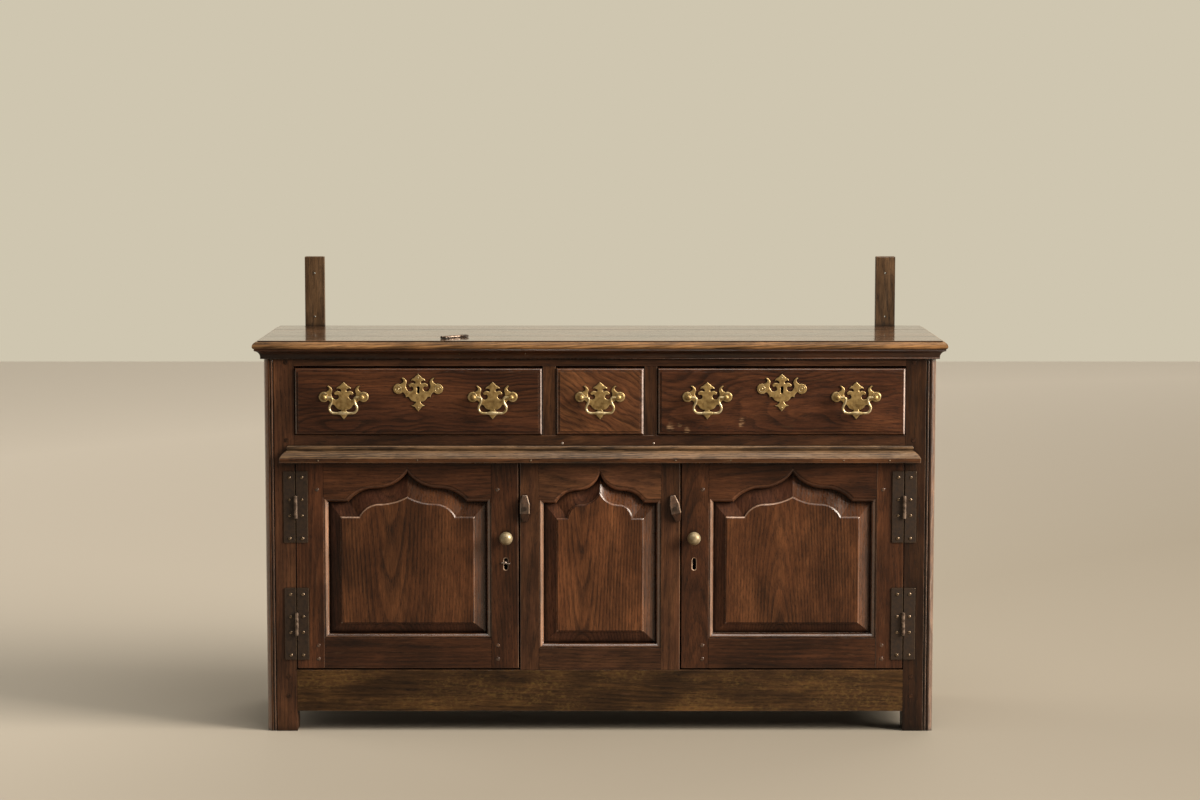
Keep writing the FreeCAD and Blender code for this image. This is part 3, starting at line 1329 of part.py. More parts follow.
def main():
    os.makedirs("parts", exist_ok=True)
    right_stile = front_stile()
    save("front_stile_left", mirrored(right_stile))
    save("front_stile_right", right_stile)
    save("front_top_rail", front_top_rail())
    save("front_middle_rail", front_middle_rail())
    save("front_bottom_rail", front_bottom_rail())
    save("drawer_muntins", [drawer_muntin(-1), drawer_muntin(1)])
    save("frame_pegs", both_pegs(PEG_R))
    middle_bay()

    rails = [side_rail(low, high) for low, high in SIDE_RAILS]
    save("side_rails", rails + [mirrored(rail) for rail in rails])
    panels = [side_panel(low, high) for low, high in SIDE_OPENINGS]
    save("side_panels", panels + [mirrored(panel) for panel in panels])
    post = rear_stile()
    save("rear_frame", [post, mirrored(post)] + [rear_rail(low, high) for low, high in REAR_RAILS])
    save("back_boards", back_boards())

    top_boards()
    save("cove_moulding", cove_moulding())
    save("waist_moulding", waist_moulding())
    save("rack_uprights", [rack_upright(-1), rack_upright(1)])
    save("cupboard_floor", cupboard_floor())
    save("cupboard_shelf", cupboard_shelf())
    save("drawer_runners", drawer_runners())

    leaves = [hinge_leaf(band, 1) for band in HINGE_BANDS]
    screws = [turn_button_screw(-1), turn_button_screw(1)]
    save("frame_ironwork", leaves + [mirrored(leaf) for leaf in leaves] + screws)
    save("turn_button_left", turn_button(-1))
    save("turn_button_right", turn_button(1))
    save("iron_key", iron_key())

    for piece, shapes in door_pieces().items():
        save("door_right_" + piece, shapes)
        group = shapes if isinstance(shapes, list) else [shapes]
        save("door_left_" + piece, [mirrored(shape) for shape in group])

    for name in DRAWERS:
        save(name + "_front", drawer_front(name))
        save(name + "_box", drawer_box(name))
        save(name + "_brasses", drawer_brasses(name))
        for i, x in enumerate(handle_places(name)):
            save(name + "_bail_" + "ab"[i], bail(x))
    for side, name in ((-1, "drawer_left"), (1, "drawer_right")):
        save(name + "_lock", drawer_lock(side))
        save(name + "_lock_bolt", drawer_bolt(side))


main()
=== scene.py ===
import json
import math
import random

import bmesh
import bpy
import numpy as np
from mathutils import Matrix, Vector
from mathutils.bvhtree import BVHTree


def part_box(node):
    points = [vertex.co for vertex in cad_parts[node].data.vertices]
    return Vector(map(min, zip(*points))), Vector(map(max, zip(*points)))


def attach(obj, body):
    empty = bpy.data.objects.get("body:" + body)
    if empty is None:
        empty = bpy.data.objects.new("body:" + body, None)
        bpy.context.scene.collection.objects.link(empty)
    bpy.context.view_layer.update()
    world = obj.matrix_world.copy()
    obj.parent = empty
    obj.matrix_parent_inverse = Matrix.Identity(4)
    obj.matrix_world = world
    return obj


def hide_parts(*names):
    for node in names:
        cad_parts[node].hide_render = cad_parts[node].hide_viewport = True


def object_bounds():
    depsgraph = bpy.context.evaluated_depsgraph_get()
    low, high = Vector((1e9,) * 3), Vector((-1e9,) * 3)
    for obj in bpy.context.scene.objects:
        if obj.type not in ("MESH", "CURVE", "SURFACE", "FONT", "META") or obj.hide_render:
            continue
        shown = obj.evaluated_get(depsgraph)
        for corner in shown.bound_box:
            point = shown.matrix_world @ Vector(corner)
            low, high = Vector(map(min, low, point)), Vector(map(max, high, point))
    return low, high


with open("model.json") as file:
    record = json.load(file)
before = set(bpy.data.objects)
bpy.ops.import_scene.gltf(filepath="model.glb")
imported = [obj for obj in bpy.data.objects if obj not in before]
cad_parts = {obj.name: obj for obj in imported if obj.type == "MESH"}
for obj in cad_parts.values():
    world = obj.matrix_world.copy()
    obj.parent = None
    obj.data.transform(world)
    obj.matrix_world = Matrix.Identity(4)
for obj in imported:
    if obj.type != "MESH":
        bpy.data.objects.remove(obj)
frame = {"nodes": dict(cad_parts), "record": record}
cadLow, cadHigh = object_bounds()
record = frame["record"]
bodyOf = {node: body for body, nodes in record["behaviour"]["bodies"].items() for node in nodes}
mm = 0.001
smooth = {"interpolation_type": "SMOOTHSTEP"}  # Map Range with eased ends
cornerSamples = 6  # rays that feel for corners, where dirt and painted shade darken the colour


def hexColour(code):
    # sRGB hex to the linear values that shaders take
    channels = [int(code[i:i + 2], 16) / 255 for i in (1, 3, 5)]
    linear = [c / 12.92 if c <= 0.04045 else ((c + 0.055) / 1.055) ** 2.4 for c in channels]
    return (*linear, 1.0)


def addNode(tree, kind, settings=None, links=None):
    # settings name a property of the node or an input, links an input and the socket that feeds it;
    # gives the node's outputs
    node = tree.nodes.new(kind)
    for key, value in (settings or {}).items():
        if isinstance(key, str) and hasattr(node, key):
            setattr(node, key, value)
        else:
            node.inputs[key].default_value = value
    for key, socket in (links or {}).items():
        tree.links.new(socket, node.inputs[key])
    return node.outputs


def newMaterial(name):
    material = bpy.data.materials.new(name)
    material.use_nodes = True
    material.node_tree.nodes.clear()
    return material, material.node_tree


def newObject(name, data):
    made = bpy.data.objects.new(name, data)
    bpy.context.scene.collection.objects.link(made)
    return made


# Oak patterns in mm, across and along the grain, with the noise's detail.
# Rings, fibres and pores are drawn about twice as coarse as real ones, to show from a few steps away.
oakPatterns = {
    "patch": (85, 200, 4),
    "gold": (48, 230, 4),
    "streak": (6.5, 260, 4),
    "fibre": (2, 50, 3),
    "pore": (1.1, 15, 1),
    "ripple": (34, 110, 1),
    "rub": (5, 45, 5),
    "dust": (6, 9, 6),
}
# what all the oak shares: the wax's IOR, and depths of relief and raggedness of scuffs in mm
oakShared = {"noiseRough": 0.62, "ior": 1.48, "fineDeep": 0.2, "planedDeep": 0.8, "ragged": 14.0,
             "scuffCore": 0.2, "scuffMost": 0.9}


def addScuffs(tree, colour, look, noise):
    # pale scuffs with ragged edges, broken by the grain
    ragged = oakShared["ragged"] * mm
    broken = addNode(tree, "ShaderNodeMapRange",
        {"From Min": 0.42, "From Max": 0.58, "To Max": oakShared["scuffMost"]},
        {"Value": noise["fibre"]["Fac"]})
    place = addNode(tree, "ShaderNodeTexCoord")["Object"]
    moved = addNode(tree, "ShaderNodeVectorMath", {"operation": "MULTIPLY_ADD", 1: (ragged, 0.0, ragged)},
        {0: noise["dust"]["Color"], 2: place})
    for x, y, z, wide in look["scuffs"]:
        middle = (x * mm + ragged / 2, y * mm, z * mm + ragged / 2)
        away = addNode(tree, "ShaderNodeVectorMath", {"operation": "DISTANCE", 1: middle}, {0: moved[0]})
        core = oakShared["scuffCore"] * wide * mm
        mark = addNode(tree, "ShaderNodeMapRange",
            {**smooth, "From Min": core, "From Max": wide * mm, "To Max": 0.0},
            {"Value": away["Value"], "To Min": broken[0]})
        colour = addNode(tree, "ShaderNodeMix", {"data_type": "RGBA", 7: hexColour(look["worn"])},
            {0: mark[0], 6: colour})[2]
    return colour


def oakFinish(name, look):
    material, tree = newMaterial(name)
    grain = addNode(tree, "ShaderNodeAttribute", {"attribute_name": "grain"})["Vector"]
    board = addNode(tree, "ShaderNodeAttribute", {"attribute_name": "board"})["Fac"]
    corner = addNode(tree, "ShaderNodeAmbientOcclusion",
        {"samples": cornerSamples, "Distance": look["reach"] * mm})
    noise = {}
    for key, (wide, long, detail) in {**oakPatterns, "warp": look["warp"]}.items():
        scale = (1 / (wide * mm), 1 / (wide * mm), 1 / (long * mm))
        place = addNode(tree, "ShaderNodeVectorMath", {"operation": "MULTIPLY", 1: scale}, {0: grain})
        noise[key] = addNode(tree, "ShaderNodeTexNoise",
            {"Scale": 1.0, "Detail": detail, "Roughness": oakShared["noiseRough"]},
            {"Vector": place[0]})

    # growth rings: distance from the heart of the tree, wandering along the board
    wander = look["wander"] * mm
    bent = addNode(tree, "ShaderNodeVectorMath", {"operation": "MULTIPLY_ADD", 1: (wander, wander, 0)},
        {0: noise["warp"]["Color"], 2: grain})
    flat = addNode(tree, "ShaderNodeVectorMath", {"operation": "MULTIPLY", 1: (1, 1, 0)}, {0: bent[0]})
    reach = addNode(tree, "ShaderNodeVectorMath", {"operation": "LENGTH"}, {0: flat[0]})
    years = addNode(tree, "ShaderNodeMath", {"operation": "MULTIPLY", 1: 1 / (look["ring"] * mm)},
        {0: reach["Value"]})
    season = addNode(tree, "ShaderNodeMath", {"operation": "FRACT"}, {0: years[0]})[0]

    # each source stretched to the share or the level that it gives: from, to, least, most
    stretches = {
        "spring": (season, 0.0, 0.12, 0.0, 1.0),
        "summer": (season, 0.15, 0.70, 1.0, 0.0),
        "figure": (noise["patch"]["Fac"], 0.35, 0.60, look["figure"], look["figure"] * 0.45),
        "pore": (noise["pore"]["Fac"], 0.57, 0.62, 0.0, 1.0),
        "gold": (noise["gold"]["Fac"], 0.42, 0.68, 0.0, look["gold"]),
        "rub": (noise["rub"]["Fac"], look["rubFrom"], look["rubFrom"] + 0.2, 0.0, look["rub"]),
        "speck": (noise["dust"]["Fac"], 0.42, 0.74, 0.0, look["dust"]),
        "drift": (noise["patch"]["Fac"], 0.44, 0.60, 0.05, 1.0),
        # darker near other surfaces: dirt and painted shade in corners and under overhangs
        "dirtAndShade": (corner["AO"], look["open"] - 0.5, look["open"], look["dirtAndShade"], 0.0),
        "rough": (noise["rub"]["Fac"], 0.3, 0.7, look["rough"] + 0.07, look["rough"] - 0.07),
    }
    for key in ("patch", "streak", "fibre"):
        stretches[key] = (noise[key]["Fac"], 0.36, 0.64, 1 - look[key], 1 + look[key])
    part = {"board": board}
    for key, (source, low, high, least, most) in stretches.items():
        part[key] = addNode(tree, "ShaderNodeMapRange",
            {**smooth, "From Min": low, "From Max": high, "To Min": least, "To Max": most},
            {"Value": source})[0]

    # what is made of the parts, each as first * second + third: a ring starts dark and open, with most of
    # the pores, and a board is lighter or darker in patches, streaks and fibres
    sums = (("early", "spring", "summer", 0.0), ("rings", "early", "figure", 0.0),
            ("open", "early", 0.55, 0.45), ("pores", "pore", "open", 0.0),
            ("poreLevel", "pores", -look["pores"], 1.0), ("level", "board", "patch", 0.0),
            ("level", "level", "streak", 0.0), ("level", "level", "fibre", 0.0),
            ("level", "level", "poreLevel", 0.0), ("dust", "speck", "drift", 0.0),
            ("dull", "pores", 0.2, "rough"), ("lines", "fibre", "streak", 0.0),
            ("height", "pores", -1.0, "lines"))
    for key, *terms in sums:
        fixed = {i: term for i, term in enumerate(terms) if not isinstance(term, str)}
        linked = {i: part[term] for i, term in enumerate(terms) if isinstance(term, str)}
        part[key] = addNode(tree, "ShaderNodeMath", {"operation": "MULTIPLY_ADD", **fixed}, linked)[0]

    # colour: golden patches and dark rings, made lighter and darker; then rubbed places, dust, and dirt
    # with painted shade in the corners
    dark, mid, light = look["tones"]
    colour = addNode(tree, "ShaderNodeMix",
        {"data_type": "RGBA", 6: hexColour(mid), 7: hexColour(light)}, {0: part["gold"]})[2]
    layers = {"rings": dark, "rub": look["worn"], "dust": look["dustColour"], "dirtAndShade": look["dirtAndShadeColour"]}
    for key, over in layers.items():
        colour = addNode(tree, "ShaderNodeMix", {"data_type": "RGBA", 7: hexColour(over)},
            {0: part[key], 6: colour})[2]
        if key == "rings":
            colour = addNode(tree, "ShaderNodeVectorMath", {"operation": "SCALE"},
                {0: colour, "Scale": part["level"]})[0]
    if look["scuffs"]:
        colour = addScuffs(tree, colour, look, noise)

    # wax: smoother and duller in patches, dull in the pores, over wood that was planed by hand
    fine = addNode(tree, "ShaderNodeBump",
        {"Strength": look["relief"], "Distance": oakShared["fineDeep"] * mm},
        {"Height": part["height"]})
    planed = addNode(tree, "ShaderNodeBump",
        {"Strength": look["planed"], "Distance": oakShared["planedDeep"] * mm},
        {"Height": noise["ripple"]["Fac"], "Normal": fine[0]})
    shader = addNode(tree, "ShaderNodeBsdfPrincipled",
        {"IOR": oakShared["ior"], "Specular IOR Level": look["wax"], "Coat Weight": look["coat"],
         "Coat Roughness": look["coatRough"]},
        {"Base Color": colour, "Roughness": part["dull"], "Normal": planed[0]})
    addNode(tree, "ShaderNodeOutputMaterial", links={"Surface": shader[0]})
    return material


# Old oak, planed by hand and waxed for generations: deep brown, satin sheen, open pores, worn arrises.
# Its tones are those of the dark rings, the wood between them and the golden patches.
oakBase = {
    "tones": ("#1b0f08", "#392316", "#553822"), "worn": "#9a7355", "dirtAndShadeColour": "#0d0704",
    "ring": 6, "warp": (170, 560, 2), "wander": 22, "figure": 0.55, "gold": 0.5,
    "patch": 0.3, "streak": 0.15, "fibre": 0.2, "pores": 0.6, "rub": 0.12, "rubFrom": 0.57,
    "dust": 0, "dustColour": "#7d6334", "scuffs": (), "dirtAndShade": 0.85, "reach": 14, "open": 0.95,
    "rough": 0.36, "relief": 0.3, "planed": 0.25, "wax": 0.28, "coat": 0, "coatRough": 0.2,
}
# what a duster leaves on mouldings: a gloss, and bare wood on the high places
polish = {"rubFrom": 0.45, "rough": 0.27, "wax": 1, "figure": 0.4, "coat": 1, "coatRough": 0.27}
panelWood = {"tones": ("#26150c", "#4a2c19", "#664127"), "wander": 16}
oakLooks = {
    # frame of the case: the darkest boards; their dirt and painted shade reach further, to darken the rails
    # under the drawers
    "oakFrame": {"reach": 22},
    # door stiles and rails: the same, a little redder
    "oakDoor": {"tones": ("#1b0e07", "#3b2214", "#55341f")},
    # run mouldings and thumbnail edges: polished by every duster, so paler and glossier
    "oakMoulded": {**polish, "tones": ("#22130a", "#4a2d1b", "#643f27"), "worn": "#86624a", "rub": 0.3},
    # mouldings that face right: painted highlight, a paler copy of the moulded finish
    "oakLitMoulding": {**polish, "tones": ("#3b2619", "#6e4f3b", "#86654e"), "worn": "#a98b76", "rub": 0.4},
    # mouldings, arrises and button slopes that face down: painted shade, a darker and duller copy of the
    # moulded finish
    "oakShade": {"tones": ("#1d1009", "#472c1c", "#5c3b25"), "rub": 0.1, "wax": 0.4, "dirtAndShade": 0.6},
    # the right-hand edges of drawer fronts: painted highlight, paler still
    "oakLitLip": {**polish, "tones": ("#5e4b40", "#95827a", "#a7968d"), "worn": "#bdaea4", "rub": 0.4,
               "rough": 0.25, "figure": 0.3, "coatRough": 0.25},
    # cove under the top, out of reach of light and cloth
    "oakCove": {"tones": ("#1c0f07", "#472916", "#623d23"), "rub": 0.1, "wax": 0.5, "dirtAndShade": 0.6,
                "reach": 8},
    # fielded panels: warm brown, plain sawn, with fine upright lines
    "oakPanel": {**panelWood, "figure": 0.75},
    # bevels round the fields: scraped smooth, so they take more sheen
    "oakBevel": {**panelWood, "figure": 0.6, "rub": 0.05, "wax": 0.75, "rough": 0.3},
    # bevels below and to the left: painted shade, a darker and duller copy
    "oakBevelShade": {**panelWood, "tones": ("#1f1109", "#40261a", "#573722"), "figure": 0.6, "rub": 0.05,
                  "wax": 0.25, "rough": 0.42},
    # the raised edge of a field: rubbed pale, and paler still as a painted highlight
    "oakFieldEdgeWornLit": {"tones": ("#3a2415", "#6a462d", "#80583a"), "worn": "#a58160", "rub": 0.5,
                     "rubFrom": 0.42, "wax": 1, "rough": 0.26, "coat": 0.6, "coatRough": 0.26,
                     "dirtAndShade": 0.3, "reach": 3},
    # the same edge on the left half of a door's arch: painted highlight, paler still
    "oakLitEdge": {"tones": ("#523b2b", "#8a6c57", "#9a7c66"), "worn": "#ae917b", "rub": 0.4,
                   "rubFrom": 0.42, "wax": 1, "rough": 0.3, "dirtAndShade": 0.2, "reach": 3},
    # drawer fronts: red-brown with flame figure and orange streaks
    "oakDrawer": {"tones": ("#190c06", "#3f2416", "#5e3922"), "warp": (120, 300, 2), "wander": 75,
                  "figure": 0.65, "ring": 7.5, "patch": 0.2},
    # the middle drawer: a board cut near a knot, lighter, with dark lines
    "oakKnotty": {"tones": ("#1c0e08", "#4e301d", "#6b472b"), "warp": (95, 170, 2), "wander": 95,
                  "figure": 0.68, "ring": 12, "streak": 0.1},
    # top boards: rubbed smooth by use, glossy enough to mirror what stands behind
    "oakTop": {"tones": ("#2f2014", "#553b28", "#745238"), "worn": "#8d6a47", "rough": 0.22,
               "coat": 0.75, "coatRough": 0.06, "planed": 0.03, "relief": 0.06, "wax": 0.5},
    # nose of the top: the wax is worn through to golden wood; the step above it is painted dark as dirt and
    # shadow
    "oakNose": {"tones": ("#352212", "#735334", "#8c6844"), "worn": "#9d7b54", "rub": 0.4,
                "rubFrom": 0.5, "figure": 0.8, "ring": 5, "pores": 0.7, "reach": 5},
    # the lower half of the nose: painted light, paler still against its shading from above
    "oakLowerNoseLit": {"tones": ("#3b2611", "#8d6842", "#a07c55"), "worn": "#ab8962", "rub": 0.3,
                "rubFrom": 0.5, "figure": 0.8, "ring": 5, "pores": 0.7, "reach": 4, "dirtAndShade": 0.6},
    # waist moulding: brown on its face, knocked and rubbed
    "oakWaist": {"tones": ("#1f120a", "#482d1a", "#603d24"), "worn": "#9a7b5c", "rub": 0.2,
                 "figure": 0.85, "ring": 5, "pores": 0.7},
    # its bead and sloping top: rubbed, and painted paler and greyer as a highlight on its upper side
    "oakSlopeWornLit": {"tones": ("#261a10", "#5e4832", "#745a40"), "worn": "#92785a", "rub": 0.4,
                 "rubFrom": 0.5, "figure": 0.9, "ring": 4, "pores": 0.8, "wax": 0.4, "dirtAndShade": 0.4,
                 "reach": 5},
    # apron near the floor: dry and dusty, golden specks over dark wood
    "oakApron": {"tones": ("#1d1308", "#382615", "#573d21"), "gold": 0.8, "dust": 0.42, "rough": 0.5,
                 "wax": 0.2},
    # rack uprights: dry, greyer, with straight grain
    "oakUpright": {"tones": ("#2b2016", "#523d28", "#6f573f"), "figure": 0.4, "rough": 0.52, "wax": 0.2,
                   "wander": 8},
    # turn-buttons: grey-brown, cut with a knife and worn by fingers
    "oakButton": {"tones": ("#33251c", "#5b4638", "#7a6453"), "worn": "#c4ae9b", "rub": 0.4, "wax": 0.8,
                  "rough": 0.26, "dirtAndShade": 0.5},
    # inside of the case and the drawers: bare oak, never waxed
    "oakBare": {"tones": ("#5a3f27", "#7c5c3b", "#967550"), "worn": "#a98a60", "rough": 0.66,
                "wax": 0.2, "dirtAndShade": 0.6},
    # rims of keyholes, rubbed to pale bare wood by keys; on turn-buttons it is a painted highlight on the
    # right-facing edges
    "oakRimWornAndLit": {"tones": ("#6f5340", "#a58a72", "#b79e86"), "rub": 0.2, "wax": 0.8, "rough": 0.28,
               "dirtAndShade": 0.3, "reach": 3},
    # the fine groove where two boards meet, full of wax and dirt; also the step above the nose, as a
    # painted shadow line
    "oakSeamAndShadow": {"tones": ("#0a0502", "#140b06", "#1f120a"), "rub": 0, "rough": 0.6, "wax": 0.1},
}
# the right drawer is knocked along its lower edge: places and widths of the scuffs in mm
oakLooks["oakScuffed"] = {**oakLooks["oakDrawer"], "worn": "#97795a", "scuffs": (
    (307, -204.5, 683, 9), (304, -204.5, 674, 6), (152, -204.5, 670, 12), (188, -204.5, 664, 9),
    (172, -204.5, 674, 6))}
# an open arris of any of these is rubbed pale and waxed
arrisLook = {"rub": 0.3, "rubFrom": 0.4, "dirtAndShade": 1, "reach": 2.5, "open": 1, "dust": 0, "wax": 1,
             "rough": 0.24}
finishes = {name: oakFinish(name, {**oakBase, **look}) for name, look in oakLooks.items()}


def metalFinish(name, look):
    # cast or forged metal: clean on the high places, dark patina in clouds, and dirt and painted shade in
    # the corners
    material, tree = newMaterial(name)
    place = addNode(tree, "ShaderNodeTexCoord")["Object"]
    cloud, grit = (addNode(tree, "ShaderNodeTexNoise",
        {"Scale": 1 / (look[key + "Mm"] * mm), "Detail": look[key + "Detail"]},
        {"Vector": place})["Fac"] for key in ("cloud", "grit"))
    age = addNode(tree, "ShaderNodeMapRange",
        {**smooth, "From Min": look["cloudFrom"], "From Max": look["cloudTo"]}, {"Value": cloud})[0]
    bright, patina, dirtAndShadeColour = (hexColour(look[key]) for key in ("bright", "patina", "dirtAndShadeColour"))
    colour = addNode(tree, "ShaderNodeMix", {"data_type": "RGBA", 6: bright, 7: patina}, {0: age})
    corner = addNode(tree, "ShaderNodeAmbientOcclusion",
        {"samples": cornerSamples, "Distance": look["cornerMm"] * mm})
    # darker near other surfaces: dirt and painted shade
    dirtAndShade = addNode(tree, "ShaderNodeMapRange",
        {"From Min": look["dirtAndShadeFrom"], "From Max": look["dirtAndShadeTo"], "To Min": look["dirtAndShade"],
         "To Max": 0.0}, {"Value": corner["AO"]})
    colour = addNode(tree, "ShaderNodeMix", {"data_type": "RGBA", 7: dirtAndShadeColour}, {0: dirtAndShade[0], 6: colour[2]})
    rough = addNode(tree, "ShaderNodeMapRange", {"To Min": look["smooth"], "To Max": look["dull"]},
        {"Value": age})
    relief = addNode(tree, "ShaderNodeBump", {"Strength": look["relief"], "Distance": look["deepMm"] * mm},
        {"Height": grit})
    shader = addNode(tree, "ShaderNodeBsdfPrincipled", {"Metallic": look["metal"]},
        {"Base Color": colour[2], "Roughness": rough[0], "Normal": relief[0]})
    addNode(tree, "ShaderNodeOutputMaterial", links={"Surface": shader[0]})
    return material


metalBase = {"dirtAndShadeColour": "#17100a", "cloudDetail": 4, "cloudFrom": 0.35, "cloudTo": 0.68, "gritMm": 1.2,
             "gritDetail": 2, "cornerMm": 3, "dirtAndShadeFrom": 0.35, "dirtAndShadeTo": 0.9, "dirtAndShade": 0.6,
             "smooth": 0.28, "dull": 0.42, "deepMm": 0.2}
metalLooks = {
    # cast brass, filed flat and never lacquered: dull gold, with dirt and painted shade in the hollows
    "castBrass": {"bright": "#bb9f68", "patina": "#8c7144", "dirtAndShadeColour": "#1d140a", "cloudMm": 9,
                  "gritMm": 2.2, "dirtAndShade": 0.9, "smooth": 0.36, "dull": 0.5, "relief": 0.35, "metal": 0.6},
    # brass that hands keep bright: bails, posts and rims
    "rubbedBrass": {"bright": "#d2c19a", "patina": "#a59163", "dirtAndShadeColour": "#2b1f10", "cloudMm": 12,
                    "dirtAndShade": 0.75, "dull": 0.38, "relief": 0.08, "metal": 0.65},
    # turned brass knobs, pale from handling
    "paleBrass": {"bright": "#a99a7b", "patina": "#867556", "dirtAndShadeColour": "#3d3019", "cloudMm": 9,
                  "gritMm": 0.9, "cornerMm": 4, "smooth": 0.36, "dull": 0.48, "relief": 0.08,
                  "metal": 0.4},
    # forged iron, blacked and rusted brown, with hammer marks
    "forgedIron": {"bright": "#38291d", "patina": "#281c13", "dirtAndShadeColour": "#0d0805", "cloudMm": 8,
                   "gritMm": 2.6, "cornerMm": 4, "dirtAndShade": 0.8, "smooth": 0.46, "dull": 0.6,
                   "relief": 0.4, "metal": 0.2},
    # the same iron worn bright where it rubs
    "wornIron": {"bright": "#c3b3a6", "patina": "#93857a", "dirtAndShadeColour": "#241b13", "cloudMm": 5,
                 "gritMm": 1.3, "dirtAndShade": 0.5, "smooth": 0.26, "relief": 0.2, "metal": 0.8},
    # hinge knuckles and the key's shaft: brown, rubbed along the middle
    "knuckleIron": {"bright": "#8a7768", "patina": "#4d3e33", "cloudMm": 6, "gritMm": 1.6,
                    "relief": 0.25, "metal": 0.5},
    # edges and nail heads: dark iron that still takes a highlight
    "rubbedIron": {"bright": "#84705c", "patina": "#54442f", "cloudMm": 4, "dirtAndShade": 0.7, "smooth": 0.2,
                   "dull": 0.32, "relief": 0.12, "metal": 0.7},
}
finishes.update({name: metalFinish(name, {**metalBase, **look}) for name, look in metalLooks.items()})
print("finishes:", len(finishes))


def plainMesh(piece):
    # what the modifiers make becomes the piece's own mesh
    graph = bpy.context.evaluated_depsgraph_get()
    made = bpy.data.meshes.new_from_object(piece.evaluated_get(graph))
    piece.modifiers.clear()
    piece.data = made
    return made


def boardsOf(mesh):
    # lists of vertices that hang together, ordered by their place
    parent = list(range(len(mesh.vertices)))

    def root(i):
        while parent[i] != i:
            parent[i] = parent[parent[i]]
            i = parent[i]
        return i

    for edge in mesh.edges:
        parent[root(edge.vertices[0])] = root(edge.vertices[1])
    groups = {}
    for i in range(len(parent)):
        groups.setdefault(root(i), []).append(i)
    places = np.array([v.co for v in mesh.vertices])

    def where(group):
        middle = (places[group].min(0) + places[group].max(0)) / 2
        return tuple(np.round(middle, 4))

    return sorted(groups.values(), key=where), places


grainChance = {"aside": 0.05, "deepFrom": 0.02, "deepTo": 0.09, "tilt": 0.10, "apart": 40.0, "tone": 0.12}
# how light a board is against its finish, from left to right or upwards where a node has several
boardTones = {
    "front_stile_left": (1.8,), "front_stile_right": (0.6,), "front_top_rail": (1.6,),
    "front_middle_rail": (1.15,), "front_bottom_rail": (1.18,), "waist_moulding": (1.2, 1.2, 1.2),
    "middle_bay_stiles": (1.6, 1.9), "middle_bay_rails": (1.25, 2.4), "middle_bay_panel": (1.65,),
    "drawer_left_front": (1.18,), "drawer_middle_front": (1.6,), "drawer_right_front": (1.28,),
    "door_left_stiles": (1.75, 1.12), "door_left_arched_rail": (1.4,), "door_left_bottom_rail": (0.84,),
    "door_left_panel": (1.15,), "door_right_stiles": (1.15, 1.2), "door_right_arched_rail": (1.35,),
    "door_right_bottom_rail": (0.85,), "door_right_panel": (1.15,), "rack_uprights": (0.86, 0.92),
}


def layGrain(mesh, name, along, slant=0.0):
    # each board gets its own heart, tilt and figure; the last coordinate runs along the grain
    groups, places = boardsOf(mesh)
    grain = np.zeros_like(places)
    tone = np.zeros(len(places))
    for index, group in enumerate(groups):
        chance = random.Random(name + str(index))
        low, high = places[group].min(0), places[group].max(0)
        span = high - low
        axis = int(span.argmax()) if along is None else along
        wide, deep = sorted((k for k in range(3) if k != axis), key=lambda k: -span[k])
        local = places[group] - (low + high) / 2
        across = local[:, wide] * math.cos(slant) + local[:, axis] * math.sin(slant)
        length = local[:, axis] * math.cos(slant) - local[:, wide] * math.sin(slant)
        tilt = chance.uniform(-1, 1) * grainChance["tilt"]
        grain[group, 0] = across + chance.uniform(-1, 1) * grainChance["aside"]
        heart = chance.uniform(grainChance["deepFrom"], grainChance["deepTo"])
        grain[group, 1] = local[:, deep] - heart + tilt * length
        grain[group, 2] = length + chance.uniform(0, grainChance["apart"])
        spread = 1 + chance.uniform(-1, 1) * grainChance["tone"]
        tone[group] = boardTones[name][index] if name in boardTones else spread
    mesh.attributes.new("grain", "FLOAT_VECTOR", "POINT").data.foreach_set("vector", grain.ravel())
    mesh.attributes.new("board", "FLOAT", "POINT").data.foreach_set("value", tone)


# angles in degrees, sizes in mm; feel is where along an edge a neighbour is felt for
dressing = {"arrisAngle": 35.0, "merge": 0.004, "flatAngle": 0.5, "roundAngle": 11.5, "wide": 9.0,
            "wideAngle": 4.0, "meet": 0.6, "feel": (0.2, 0.5, 0.8), "narrowShare": 0.35, "rounds": 2,
            "seamShare": 0.25, "brassArris": 0.15, "ironArris": 0.5, "keyArris": 0.3}
surfaces = {}
for node in bodyOf:
    data = frame["nodes"][node].data
    net = BVHTree.FromPolygons([v.co for v in data.vertices], [face.vertices for face in data.polygons])
    surfaces[node] = (net, *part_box(node))


def meetsAnother(node, place):
    # whether another piece lies against this place
    near = dressing["meet"] * mm
    for other, (net, low, high) in surfaces.items():
        if other == node or any(not low[k] - near < place[k] < high[k] + near for k in range(3)):
            continue
        if net.find_nearest(place, near)[0] is not None:
            return True
    return False


def onJoint(node, edge):
    # a seam rather than an open arris: most of its length lies against another piece
    first, last = (vert.co for vert in edge.verts)
    return sum(meetsAnother(node, first.lerp(last, share)) for share in dressing["feel"]) > 1


def narrowness(face):
    # about the width of a strip, or half that of a square
    return 2 * face.calc_area() / face.calc_perimeter()


def mergedShape(node):
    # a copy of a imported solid, with its loose triangles joined
    shape = bmesh.new()
    shape.from_mesh(frame["nodes"][node].data)
    bmesh.ops.remove_doubles(shape, verts=shape.verts, dist=dressing["merge"] * mm)
    return shape


